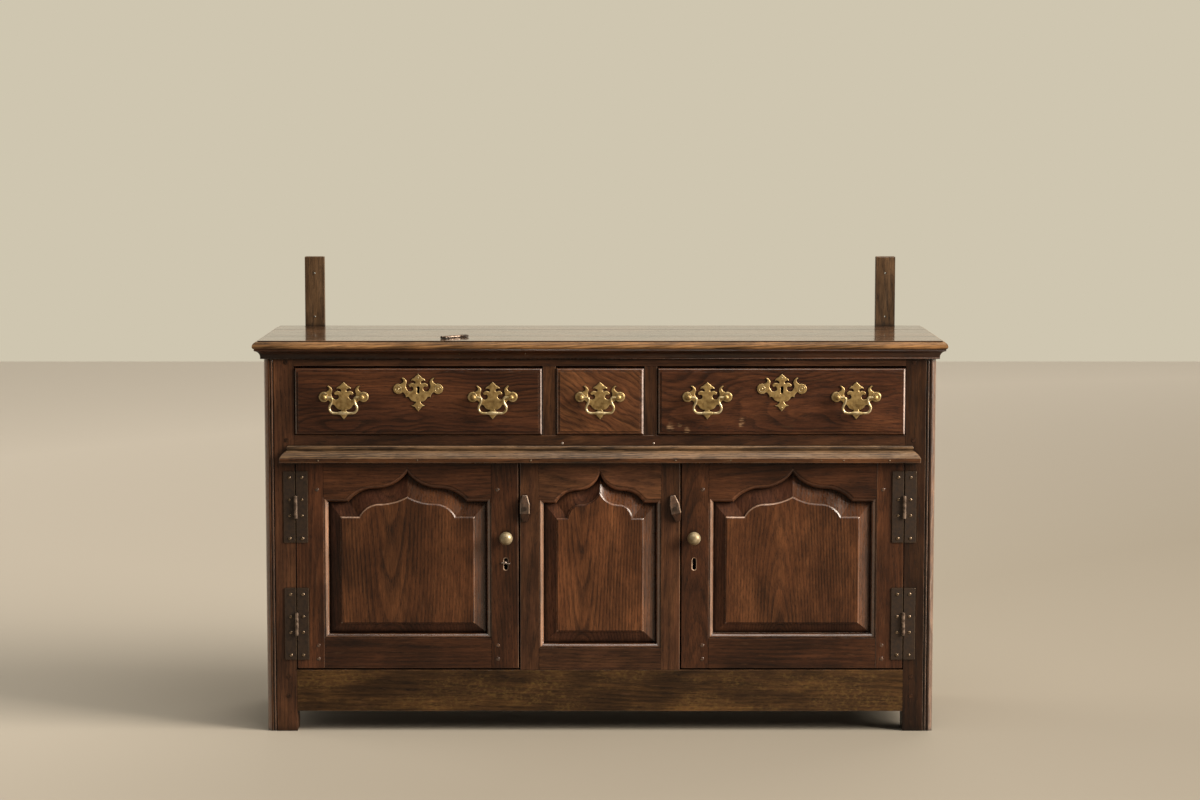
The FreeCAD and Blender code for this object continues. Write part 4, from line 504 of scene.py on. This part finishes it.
def weighArrises(shape, node, arris, seamShare, rim):
    # how far each edge is eased: less beside a narrow face, and little where another piece lies against it
    weight = shape.edges.layers.float.new("bevel_weight_edge")
    for edge in shape.edges:
        if len(edge.link_faces) != 2:
            continue
        if edge.calc_face_angle_signed() < math.radians(dressing["arrisAngle"]):
            continue
        narrow = min(narrowness(face) for face in edge.link_faces)
        edge[weight] = min(1.0, dressing["narrowShare"] * narrow / (arris * mm))
        if rim and rim["test"]((edge.verts[0].co + edge.verts[1].co) / 2):
            edge[weight] = 1.0
        elif onJoint(node, edge):
            edge[weight] *= seamShare


def shadeForms(mesh):
    # mouldings shade round, and a wide flat face keeps its crisp edge even to a neighbour that turns little
    shape = bmesh.new()
    shape.from_mesh(mesh)
    for face in shape.faces:
        face.smooth = True
    for edge in shape.edges:
        if len(edge.link_faces) != 2:
            continue
        turn = math.degrees(edge.calc_face_angle())
        wide = max(narrowness(face) for face in edge.link_faces) > dressing["wide"] * mm
        edge.smooth = turn < (dressing["wideAngle"] if wide else dressing["roundAngle"])
    shape.to_mesh(mesh)
    shape.free()


# how faces that take another finish are turned: least and most of their normal along an axis
facings = {
    # the top's moulded edge, the lower half of it, and the step above it
    "nose": {"z": (-0.985, 0.985)}, "lowerNose": {"z": (-0.985, 0.35)}, "upright": {"z": (-0.3, 0.3)},
    # mouldings face forward, but not squarely; then those that face down or right, and the waist's top
    "moulding": {"y": (-0.965, -0.12)}, "shade": {"y": (-0.965, -0.12), "z": (-1.1, -0.12)},
    "rightFacing": {"y": (-0.965, -0.12), "x": (0.2, 1.1)}, "slope": {"z": (0.2, 1.1)},
    # a fielded panel's border, its undersides, the field and its upper edge; a brass plate's front
    "bevel": {"y": (-0.998, -0.12)}, "under": {"z": (-1.1, -0.05)}, "field": {"y": (-1.1, -0.9999)},
    "fieldEdge": {"y": (-0.9, -0.7), "z": (0.15, 1.1)}, "plate": {"y": (-1.1, -0.999)},
}


def told(face, test):
    # whether a face passes a test or fits a facing
    if callable(test):
        return test(face)
    return all(low < getattr(face.normal, axis) < high for axis, (low, high) in facings[test].items())


def paintFaces(mesh, node, finish, paints, seam, rim):
    # faces come in slot 0, arrises in slot 1; seams take slot 2, then come paints and rim
    others = [seam or finish] + [painted for painted, test, arrises in paints]
    if rim:
        others.append(rim["finish"])
    for other in others:
        mesh.materials.append(finishes[other])
    for face in mesh.polygons:
        eased = face.material_index == 1
        if eased and rim and rim["test"](face.center):
            face.material_index = len(others) + 1
        elif eased and seam and meetsAnother(node, face.center):
            face.material_index = 2
        else:
            fits = [place for place, (painted, test, arrises) in enumerate(paints, 3)
                    if (arrises or not eased) and told(face, test)]
            face.material_index = fits[0] if fits else face.material_index


def dressed(node, finish, arris, edgeFinish, along=None, slant=0.0, paints=(), seam=None, seamShare=None,
            rim=None, field=None):
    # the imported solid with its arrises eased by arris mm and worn, as a finished piece
    shape = mergedShape(node)
    if not field or field["dissolve"]:
        bmesh.ops.dissolve_limit(shape, angle_limit=math.radians(dressing["flatAngle"]), verts=shape.verts,
                                 edges=shape.edges)
    for face in shape.faces:
        face.material_index = 0
    if field:
        # a flat field stands a little proud, with a slope round it in the edge's finish: on panels a worn
        # and painted highlight
        flat = [face for face in shape.faces if field["test"](face)]
        slope = bmesh.ops.inset_region(shape, faces=flat, thickness=field["wide"] * mm,
                                       depth=field["proud"] * mm, use_even_offset=True, use_boundary=True)
        for face in slope["faces"]:
            face.material_index = 1
    weighArrises(shape, node, arris, seamShare or dressing["seamShare"], rim)
    mesh = bpy.data.meshes.new(node + "_dressed")
    for layer in list(shape.loops.layers.uv):
        shape.loops.layers.uv.remove(layer)
    shape.to_mesh(mesh)
    shape.free()
    if "custom_normal" in mesh.attributes:
        mesh.attributes.remove(mesh.attributes["custom_normal"])
    mesh.materials.clear()
    mesh.materials.append(finishes[finish])
    mesh.materials.append(finishes[edgeFinish])
    piece = newObject(node + "_dressed", mesh)
    bevel = piece.modifiers.new("arris", "BEVEL")
    bevel.limit_method = "WEIGHT"
    bevel.width = arris * mm
    bevel.segments = dressing["rounds"]
    bevel.use_clamp_overlap = False
    bevel.material = 1
    mesh = plainMesh(piece)
    for vert in mesh.vertices:
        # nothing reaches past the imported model
        vert.co = [min(max(vert.co[k], cadLow[k]), cadHigh[k]) for k in range(3)]
    shadeForms(mesh)
    paintFaces(mesh, node, finish, paints, seam, rim)
    layGrain(mesh, node, along, slant)
    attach(piece, bodyOf[node])
    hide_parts(node)


# which boards take which finish; along is the axis of the grain where the longest side isn't it
oakBoards = [
    {"finish": "oakFrame", "arris": 1.4, "nodes": ["front_stile_left", "front_stile_right",
     "front_top_rail", "front_middle_rail", "middle_bay_stiles", "middle_bay_rails", "drawer_muntins",
     "side_rails"]},
    {"finish": "oakCove", "arris": 1.0, "nodes": ["cove_moulding"]},
    {"finish": "oakButton", "arris": 2.0, "nodes": ["turn_button_left", "turn_button_right"]},
    {"finish": "oakFrame", "arris": 0.4, "along": 1, "edge": "oakFrame", "nodes": ["frame_pegs"]},
    {"finish": "oakDoor", "arris": 1.5, "nodes": [side + piece for side in ("door_left_", "door_right_")
     for piece in ("stiles", "bottom_rail", "arched_rail")]},
    {"finish": "oakPanel", "arris": 1.5, "along": 2, "edge": "oakFieldEdgeWornLit", "nodes": ["door_left_panel",
     "door_right_panel", "middle_bay_panel", "side_panels"]},
    {"finish": "oakDrawer", "arris": 1.4, "nodes": ["drawer_left_front"]},
    {"finish": "oakScuffed", "arris": 1.4, "nodes": ["drawer_right_front"]},
    {"finish": "oakKnotty", "arris": 1.4, "slant": 0.55, "nodes": ["drawer_middle_front"]},
    {"finish": "oakTop", "arris": 1.3, "seamShare": 1.0, "nodes": ["top_front_board", "top_rear_boards"]},
    {"finish": "oakWaist", "arris": 1.0, "nodes": ["waist_moulding"]},
    {"finish": "oakApron", "arris": 1.2, "nodes": ["front_bottom_rail"]},
    {"finish": "oakUpright", "arris": 1.2, "nodes": ["rack_uprights"]},
    {"finish": "oakBare", "arris": 0.8, "nodes": ["rear_frame", "back_boards", "cupboard_floor",
     "cupboard_shelf", "drawer_runners", "drawer_left_box", "drawer_middle_box", "drawer_right_box"]},
]
topLow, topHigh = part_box("top_front_board")
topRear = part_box("top_rear_boards")[1]
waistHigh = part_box("waist_moulding")[1]
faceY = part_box("front_stile_left")[0].y
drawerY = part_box("drawer_left_front")[0].y
fielded = ("door_left_panel", "middle_bay_panel", "door_right_panel")
panelMiddles = [sum(corner.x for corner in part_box(node)) / 2 for node in fielded]
# where the faces below lie, in mm, and the least area of a field in square metres
lying = {"step": 2.4, "groove": 11.5, "fieldArea": 0.01, "plate": 1.8, "plateFit": 0.1, "keyEdge": 2,
         "nose": 20, "rear": 8, "ends": 14, "topEdge": 1.5, "knuckle": 3.2, "screw": 10.5,
         "shaft": 21}


def onStep(face):
    # the small upright step above the nose, where wax and dirt collect, painted dark as a shadow line
    return told(face, "upright") and face.center.z > topHigh.z - lying["step"] * mm


def panelMiddle(face):
    # the middle of the panel that a face lies on
    return min(panelMiddles, key=lambda x: abs(x - face.center.x))


def onHollow(face):
    # the bevel below a field, to its left, and on the left half of its arch, which takes painted shade
    return told(face, "bevel") and (told(face, "under") or face.center.x < panelMiddle(face))


def onLitEdge(face):
    # the slope at the edge of a door's field, on the left half of its arch
    middle = panelMiddle(face)
    return told(face, "fieldEdge") and face.center.x < middle and middle != panelMiddles[1]


def onSlope(face):
    # bead, groove and slope of the waist moulding, not its upright face: they take the paler, lit finish
    return told(face, "slope") or face.center.z > waistHigh.z - lying["groove"] * mm


def onField(face):
    # the large flat middle of a fielded panel
    return told(face, "field") and face.calc_area() > lying["fieldArea"]


def onPlate(face):
    # the flat front of a brass plate
    off = face.calc_center_median().y - drawerY + lying["plate"] * mm
    return told(face, "plate") and abs(off) < lying["plateFit"] * mm


keyholes = {"aside": 205.0, "up": 369.5, "wide": 7.5, "high": 16.5}


def onKeyRim(place):
    # the front edge of a door's keyhole
    beside = abs(abs(place.x) - keyholes["aside"] * mm) < keyholes["wide"] * mm
    level = abs(place.z - keyholes["up"] * mm) < keyholes["high"] * mm
    return beside and level and place.y < faceY + lying["keyEdge"] * mm


def onTopJoint(place):
    # the edges along which the boards of the top meet, away from the outer edges
    inside = topLow.y + lying["nose"] * mm < place.y < topRear.y - lying["rear"] * mm
    return (inside and abs(place.x) < topHigh.x - lying["ends"] * mm
            and place.z > topHigh.z - lying["topEdge"] * mm)


panelField = {"test": onField, "wide": 3.0, "proud": 2.0, "dissolve": True}
plateField = {"test": onPlate, "wide": 0.9, "proud": 0.7, "dissolve": False}
keyRim = {"finish": "oakRimWornAndLit", "test": onKeyRim}
topJoint = {"finish": "oakSeamAndShadow", "test": onTopJoint}
rims = {"door_left_stiles": keyRim, "door_right_stiles": keyRim, "top_front_board": topJoint,
        "top_rear_boards": topJoint}

# finish, which faces take it, and whether arrises take it too
# down-facing mouldings take painted shade, right-facing ones a painted highlight
shaded, plainMoulded = ("oakShade", "shade", True), ("oakMoulded", "moulding", False)
moulded = [shaded, ("oakLitMoulding", "rightFacing", False), plainMoulded]
lipped = [shaded, ("oakLitLip", "rightFacing", False), plainMoulded]
paints = {
    "oakTop": [("oakSeamAndShadow", onStep, False), ("oakLowerNoseLit", "lowerNose", False), ("oakNose", "nose", False)],
    "oakWaist": [("oakSlopeWornLit", onSlope, False)],
    "oakDoor": moulded, "oakFrame": moulded, "oakDrawer": lipped, "oakScuffed": lipped, "oakKnotty": lipped,
    "oakPanel": [("oakLitEdge", onLitEdge, True), ("oakBevelShade", onHollow, False),
                 ("oakBevel", "bevel", False)],
    # turn-buttons: painted shade below, and a painted highlight on their right-facing edges
    "oakButton": [shaded, ("oakRimWornAndLit", "rightFacing", True)],
}
for group in oakBoards:
    finish = group["finish"]
    edge = group.get("edge", finish + "Arris")
    if edge not in finishes:
        finishes[edge] = oakFinish(edge, {**oakBase, **oakLooks[finish], **arrisLook})
    for node in group["nodes"]:
        dressed(node, finish, group["arris"], edge, group.get("along"), group.get("slant", 0.0),
                paints.get(finish, ()), "oakSeamAndShadow", group.get("seamShare"), rims.get(node),
                panelField if node in fielded else None)
print("oak boards dressed")


def onKnuckle(face):
    # the rolled knuckle and pin stand well clear of the leaf, but not as far as the button screws' heads
    return faceY - lying["screw"] * mm < face.center.y < faceY - lying["knuckle"] * mm


keyMiddle = sum(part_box("iron_key"), Vector()) / 2


def onShaft(face):
    # the shaft between the key's bow and its bit
    return (face.center - keyMiddle).length < lying["shaft"] * mm


for node in bodyOf:
    slots = frame["nodes"][node].material_slots
    if node.endswith("_brasses"):
        dressed(node, "castBrass", dressing["brassArris"], "rubbedBrass", field=plateField)
    elif node.endswith("_hinge_leaves") or node == "frame_ironwork":
        dressed(node, "forgedIron", dressing["ironArris"], "rubbedIron",
                paints=[("knuckleIron", onKnuckle, False)])
    elif node == "iron_key":
        dressed(node, "forgedIron", dressing["keyArris"], "rubbedIron",
                paints=[("knuckleIron", onShaft, False)])
    elif "_bail_" in node:
        slots[0].material = finishes["rubbedBrass"]
    elif node.endswith("_knob"):
        slots[0].material = finishes["paleBrass"]
    elif node.endswith(("_lock", "_lock_bolt")):
        slots[0].material = finishes["forgedIron"]
print("metalwork dressed")


def solidBoxes(node):
    # lowest and highest corner of each separate solid in a node
    shape = mergedShape(node)
    merged = bpy.data.meshes.new("merged")
    shape.to_mesh(merged)
    shape.free()
    groups, places = boardsOf(merged)
    bpy.data.meshes.remove(merged)
    return [(Vector(places[group].min(0)), Vector(places[group].max(0))) for group in groups]


def spreadTree(name, inputs, makeShape):
    # a tree that puts one shape on each of a piece's points
    tree = bpy.data.node_groups.new(name, "GeometryNodeTree")
    sockets = {}
    for label, kind in {"Points": "Geometry", **inputs, "Finish": "Material"}.items():
        made = tree.interface.new_socket(label, in_out="INPUT", socket_type="NodeSocket" + kind)
        sockets[label] = made.identifier
    tree.interface.new_socket("Pieces", in_out="OUTPUT", socket_type="NodeSocketGeometry")
    given = addNode(tree, "NodeGroupInput")
    shape, placing = makeShape(tree, given)
    spread = addNode(tree, "GeometryNodeInstanceOnPoints",
        links={"Points": given["Points"], "Instance": shape, **placing})
    real = addNode(tree, "GeometryNodeRealizeInstances", links={0: spread[0]})
    painted = addNode(tree, "GeometryNodeSetMaterial",
        links={"Geometry": real[0], "Material": given["Finish"]})
    addNode(tree, "NodeGroupOutput", links={0: painted[0]})
    return tree, sockets


def domedHead(tree, given):
    # heads of nails, pins and pegs, each turned and sized a little differently
    ball = addNode(tree, "GeometryNodeMeshUVSphere", {"Segments": 10, "Rings": 6, "Radius": 1.0})
    size = addNode(tree, "ShaderNodeCombineXYZ",
        links={0: given["Radius"], 1: given["Proud"], 2: given["Radius"]})
    head = addNode(tree, "GeometryNodeTransform", links={"Geometry": ball["Mesh"], "Scale": size[0]})
    turn = addNode(tree, "FunctionNodeRandomValue", {"data_type": "FLOAT_VECTOR", 1: (0.0, 6.28, 0.0)},
        {"Seed": given["Seed"]})
    least, most = (addNode(tree, "ShaderNodeMath", {"operation": kind, 0: 1.0}, {1: given["Uneven"]})[0]
        for kind in ("SUBTRACT", "ADD"))
    grow = addNode(tree, "FunctionNodeRandomValue", {"data_type": "FLOAT"},
        {2: least, 3: most, "Seed": given["Seed"]})
    return head[0], {"Rotation": turn[0], "Scale": grow[1]}


def raisedRing(tree, given):
    # rings of wire that lie in the drawer front's plane
    loop, section = (addNode(tree, "GeometryNodeCurvePrimitiveCircle", {"Resolution": steps},
        {"Radius": given[size]})[0] for steps, size in ((28, "Radius"), (8, "Wire")))
    ring = addNode(tree, "GeometryNodeCurveToMesh", links={"Curve": loop, "Profile Curve": section})
    stood = addNode(tree, "GeometryNodeTransform", {"Rotation": (math.pi / 2, 0, 0)}, {"Geometry": ring[0]})
    return stood[0], {}


def scattered(name, tree, points, values, finish, body):
    # one plain mesh of what a tree makes on a list of points, riding on one body
    group, sockets = tree
    mesh = bpy.data.meshes.new(name)
    mesh.from_pydata(points, [], [])
    piece = newObject(name, mesh)
    spread = piece.modifiers.new("spread", "NODES")
    spread.node_group = group
    for key, value in values.items():
        spread[sockets[key]] = value
    spread[sockets["Finish"]] = finishes[finish]
    made = plainMesh(piece)
    made.shade_smooth()
    layGrain(made, name, 1)
    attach(piece, body)


heads = spreadTree("domedHeads", {"Radius": "Float", "Proud": "Float", "Uneven": "Float", "Seed": "Int"},
                   domedHead)
rings = spreadTree("raisedRings", {"Radius": "Float", "Wire": "Float"}, raisedRing)


def headValues(look):
    # what the tree of heads takes from a dictionary in mm
    return {"Radius": look["radius"] * mm, "Proud": look["proud"] * mm, "Uneven": look["uneven"],
            "Seed": look["seed"]}


# hinge nails, four to a leaf, hammered in by hand
hingeNails = {"levels": (65, 16, -19, -69), "inset": 12.5, "radius": 3.6, "proud": 1.5, "uneven": 0.14,
              "seed": 3, "leafThick": 2.4, "leafLeast": 100, "axis": 661}


def leafNails(node):
    points = []
    for low, high in solidBoxes(node):
        if high.z - low.z < hingeNails["leafLeast"] * mm:
            continue
        middle = (low + high) / 2
        hinge = math.copysign(hingeNails["axis"] * mm, middle.x)
        outer = low.x if abs(low.x - hinge) > abs(high.x - hinge) else high.x
        x = outer + math.copysign(hingeNails["inset"] * mm, hinge - outer)
        y = faceY - hingeNails["leafThick"] * mm
        points += [(x, y, middle.z + level * mm) for level in hingeNails["levels"]]
    return points


for node in ("frame_ironwork", "door_left_hinge_leaves", "door_right_hinge_leaves"):
    scattered(node + "_nails", heads, leafNails(node), headValues(hingeNails), "rubbedIron", bodyOf[node])

# pegs through the door joints, measured in from the door's edges
doorPegs = {"aside": 45.5, "levels": (21, 51, -58), "radius": 4.3, "proud": 0.9, "uneven": 0.1, "seed": 5}
for side in ("door_left", "door_right"):
    low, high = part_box(side + "_stiles")
    points = []
    for z in doorPegs["levels"]:
        level = (low.z if z > 0 else high.z) + z * mm
        points += [(low.x + doorPegs["aside"] * mm, faceY, level),
                   (high.x - doorPegs["aside"] * mm, faceY, level)]
    scattered(side + "_pegs", heads, points, headValues(doorPegs), "oakDoorArris", side)

# brass rings on the plates, and pins through the escutcheons
plates = {"ear": 42.8, "above": 32.0, "thick": 2.5, "least": 100, "ringRadius": 8.6, "keyRing": 6.4,
          "ringWire": 0.55}
platePins = {"places": ((-42.8, 0), (42.8, 0), (0, 24.5), (0, -40.5)), "radius": 1.9, "proud": 1.1,
             "uneven": 0.08, "seed": 7}
plateY = drawerY - plates["thick"] * mm
for name in ("drawer_left", "drawer_middle", "drawer_right"):
    found = [box for box in solidBoxes(name + "_brasses") if box[1].x - box[0].x > plates["least"] * mm]
    centres = [((low.x + high.x) / 2, high.z - plates["above"] * mm) for low, high in found]
    escutcheons = [max(centres, key=lambda c: c[1])] if len(centres) > 1 else []
    handles = [c for c in centres if c not in escutcheons]
    for kind, places, size in (("handle", handles, "ringRadius"), ("key", escutcheons, "keyRing")):
        if not places:
            continue
        points = [(x + side * plates["ear"] * mm, plateY, z) for x, z in places for side in (-1, 1)]
        scattered(name + "_" + kind + "_rings", rings, points, {"Radius": plates[size] * mm,
                  "Wire": plates["ringWire"] * mm}, "rubbedBrass", name)
    for x, z in escutcheons:
        points = [(x + px * mm, plateY, z + pz * mm) for px, pz in platePins["places"]]
        scattered(name + "_pins", heads, points, headValues(platePins), "rubbedBrass", name)

# small nails through the mouldings and the rail above the waist, where the hammer left them
nailBase = {"back": 0.0, "radius": 1.9, "proud": 0.9, "uneven": 0.2, "seed": 9, "finish": "rubbedIron"}
smallNails = {
    "waist_moulding": {"places": (-610, -395, -150, 163, 282, 478, 527, 626), "up": 5.5},
    "cove_moulding": {"places": (-303, -161), "up": 11.5, "back": 8.5},
    "front_middle_rail": {"places": (-82, 116), "up": 40.0, "radius": 2.8, "finish": "wornIron"},
}
for node, changes in smallNails.items():
    nails = {**nailBase, **changes}
    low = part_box(node)[0]
    points = [(x * mm, low.y + nails["back"] * mm, low.z + nails["up"] * mm) for x in nails["places"]]
    scattered(node + "_nails", heads, points, headValues(nails), nails["finish"], "carcase")

# a bent pin left in the left door's keyhole: a cross bar on a shank, as x, y from the face, and z
keyPin = {"at": (-205.0, 371.5), "thick": 1.35, "round": 3,
          "bar": ((-9.0, -2.2, 1.2), (-3.5, -2.2, 0.9), (1.5, -2.2, -0.8), (9.0, -2.2, -0.9)),
          "shank": ((0.0, -2.2, 0.4), (0.0, -1.2, 3.2), (0.0, 2.0, 3.6), (0.0, 8.0, 3.6))}
pinX, pinZ = keyPin["at"]
pinCurve = bpy.data.curves.new("keyholePin", "CURVE")
pinCurve.dimensions = "3D"
pinCurve.bevel_depth = keyPin["thick"] * mm
pinCurve.bevel_resolution = keyPin["round"]
pinCurve.use_fill_caps = True
for path in (keyPin["bar"], keyPin["shank"]):
    spline = pinCurve.splines.new("NURBS")
    spline.points.add(len(path) - 1)
    for point, (x, y, z) in zip(spline.points, path):
        point.co = ((pinX + x) * mm, faceY + y * mm, (pinZ + z) * mm, 1.0)
    spline.order_u = 3
    spline.use_endpoint_u = True
pinGuide = newObject("keyholePin", pinCurve)
pinMesh = bpy.data.meshes.new_from_object(pinGuide.evaluated_get(bpy.context.evaluated_depsgraph_get()))
bpy.data.objects.remove(pinGuide)
pinMesh.shade_smooth()
pinMesh.materials.append(finishes["wornIron"])
pin = newObject("door_left_keyhole_pin", pinMesh)
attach(pin, "door_left")
print("nails, pegs, pins and rings placed")


def seenRays(tree):
    # the kinds of ray, and 1 for those that the eye follows, straight, mirrored or through glass
    rays = addNode(tree, "ShaderNodeLightPath")
    seen = rays["Is Camera Ray"]
    for kind in ("Is Glossy Ray", "Is Transmission Ray"):
        seen = addNode(tree, "ShaderNodeMath", {"operation": "MAXIMUM"}, {0: seen, 1: rays[kind]})[0]
    return rays, seen


# soft light: a large window well to the right, a pale ceiling, and weak fills for the far side and the back
fill = {"kind": "SUN", "spread": 50.0, "power": 1.3, "colour": "#fff6ea"}
lamps = {
    "window": {"kind": "AREA", "size": 3.4, "power": 960, "colour": "#fff3e4", "place": (5.65, -2.1, 3.1)},
    "ceiling": {"kind": "AREA", "size": 2.4, "power": 60, "colour": "#fff8ef", "place": (0.6, -1.0, 3.6)},
    "leftFill": {**fill, "place": (-4.0, 1.2, 2.5)},
    "rearFill": {**fill, "place": (1.5, 4.0, 3.0)},
}

# a plain pale floor, darker near the window and paler far from it, so that it looks even; steps in metres
floorLook = {"half": 9.0, "steps": (2.6, 6.0, 10.5), "tones": ("#4d4a43", "#989184", "#eae2d3"),
             "bounce": "#77685a", "rough": 0.75, "gloss": 0.2}
floorMaterial, floorTree = newMaterial("paleFloor")
spot = addNode(floorTree, "ShaderNodeTexCoord")["Object"]
lampFoot = (*lamps["window"]["place"][:2], 0.0)
away = addNode(floorTree, "ShaderNodeVectorMath", {"operation": "DISTANCE", 1: lampFoot}, {0: spot})
near, middle, far = floorLook["steps"]
first, second = (addNode(floorTree, "ShaderNodeMapRange", {"From Min": low, "From Max": high},
    {"Value": away["Value"]})[0] for low, high in ((near, middle), (middle, far)))
nearTone, middleTone, farTone = (hexColour(code) for code in floorLook["tones"])
paleTone = addNode(floorTree, "ShaderNodeMix", {"data_type": "RGBA", 6: nearTone, 7: middleTone},
    {0: first})
paleTone = addNode(floorTree, "ShaderNodeMix", {"data_type": "RGBA", 7: farTone},
    {0: second, 6: paleTone[2]})
floorTone = addNode(floorTree, "ShaderNodeMix", {"data_type": "RGBA", 6: hexColour(floorLook["bounce"])},
    {0: seenRays(floorTree)[1], 7: paleTone[2]})
floorShader = addNode(floorTree, "ShaderNodeBsdfPrincipled",
    {"Roughness": floorLook["rough"], "Specular IOR Level": floorLook["gloss"]},
    {"Base Color": floorTone[2]})
addNode(floorTree, "ShaderNodeOutputMaterial", links={"Surface": floorShader[0]})
half = floorLook["half"]
floorMesh = bpy.data.meshes.new("floor")
floorMesh.from_pydata([(-half, -half, 0), (half, -half, 0), (half, half, 0), (-half, half, 0)], [],
                      [(0, 1, 2, 3)])
floorMesh.materials.append(floorMaterial)
floor = newObject("floor", floorMesh)

aim = (cadLow + cadHigh) / 2
for name, lamp in lamps.items():
    light = bpy.data.lights.new(name, lamp["kind"])
    light.energy = lamp["power"]
    light.color = hexColour(lamp["colour"])[:3]
    if lamp["kind"] == "AREA":
        light.size = lamp["size"]
    else:
        light.angle = math.radians(lamp["spread"])
    holder = newObject(name, light)
    holder.location = lamp["place"]
    holder.rotation_euler = (aim - Vector(lamp["place"])).to_track_quat("-Z", "Y").to_euler()
    holder.visible_camera = False
    holder.visible_glossy = lamp["kind"] == "AREA"

# the room's own light, and a pale surround for the camera and for reflections, dimmer on the viewer's side
surround = {"light": "#f4ede2", "strength": 0.12, "shown": "#cfc6b0", "viewerSide": 0.08, "from": -0.6,
            "to": 0.3}
world = bpy.data.worlds.new("room")
world.use_nodes = True
bpy.context.scene.world = world
sky = world.node_tree
sky.nodes.clear()
rays, seen = seenRays(sky)
heading = addNode(sky, "ShaderNodeSeparateXYZ", links={0: addNode(sky, "ShaderNodeTexCoord")["Generated"]})
depth = addNode(sky, "ShaderNodeMapRange",
    {**smooth, "From Min": surround["from"], "From Max": surround["to"],
     "To Min": surround["viewerSide"]}, {"Value": heading["Y"]})
level = addNode(sky, "ShaderNodeMath", {"operation": "MAXIMUM"}, {0: rays["Is Camera Ray"], 1: depth[0]})
ambient = addNode(sky, "ShaderNodeBackground",
    {"Color": hexColour(surround["light"]), "Strength": surround["strength"]})
shown = addNode(sky, "ShaderNodeBackground", {"Color": hexColour(surround["shown"])},
    {"Strength": level[0]})
both = addNode(sky, "ShaderNodeMixShader", links={0: seen, 1: ambient[0], 2: shown[0]})
addNode(sky, "ShaderNodeOutputWorld", links={"Surface": both[0]})

# the photograph's viewpoint
viewpoint = {"place": (0.0, -6.299, 1.3508), "pitch": 84.176, "lens": 85.0, "sensor": 36.0}
camera = newObject("camera", bpy.data.cameras.new("camera"))
camera.data.lens = viewpoint["lens"]
camera.data.sensor_width = viewpoint["sensor"]
camera.location = viewpoint["place"]
camera.rotation_euler = (math.radians(viewpoint["pitch"]), 0, 0)
bpy.context.scene.camera = camera
bpy.context.scene.view_settings.view_transform = "Standard"
print("floor, light and camera set")
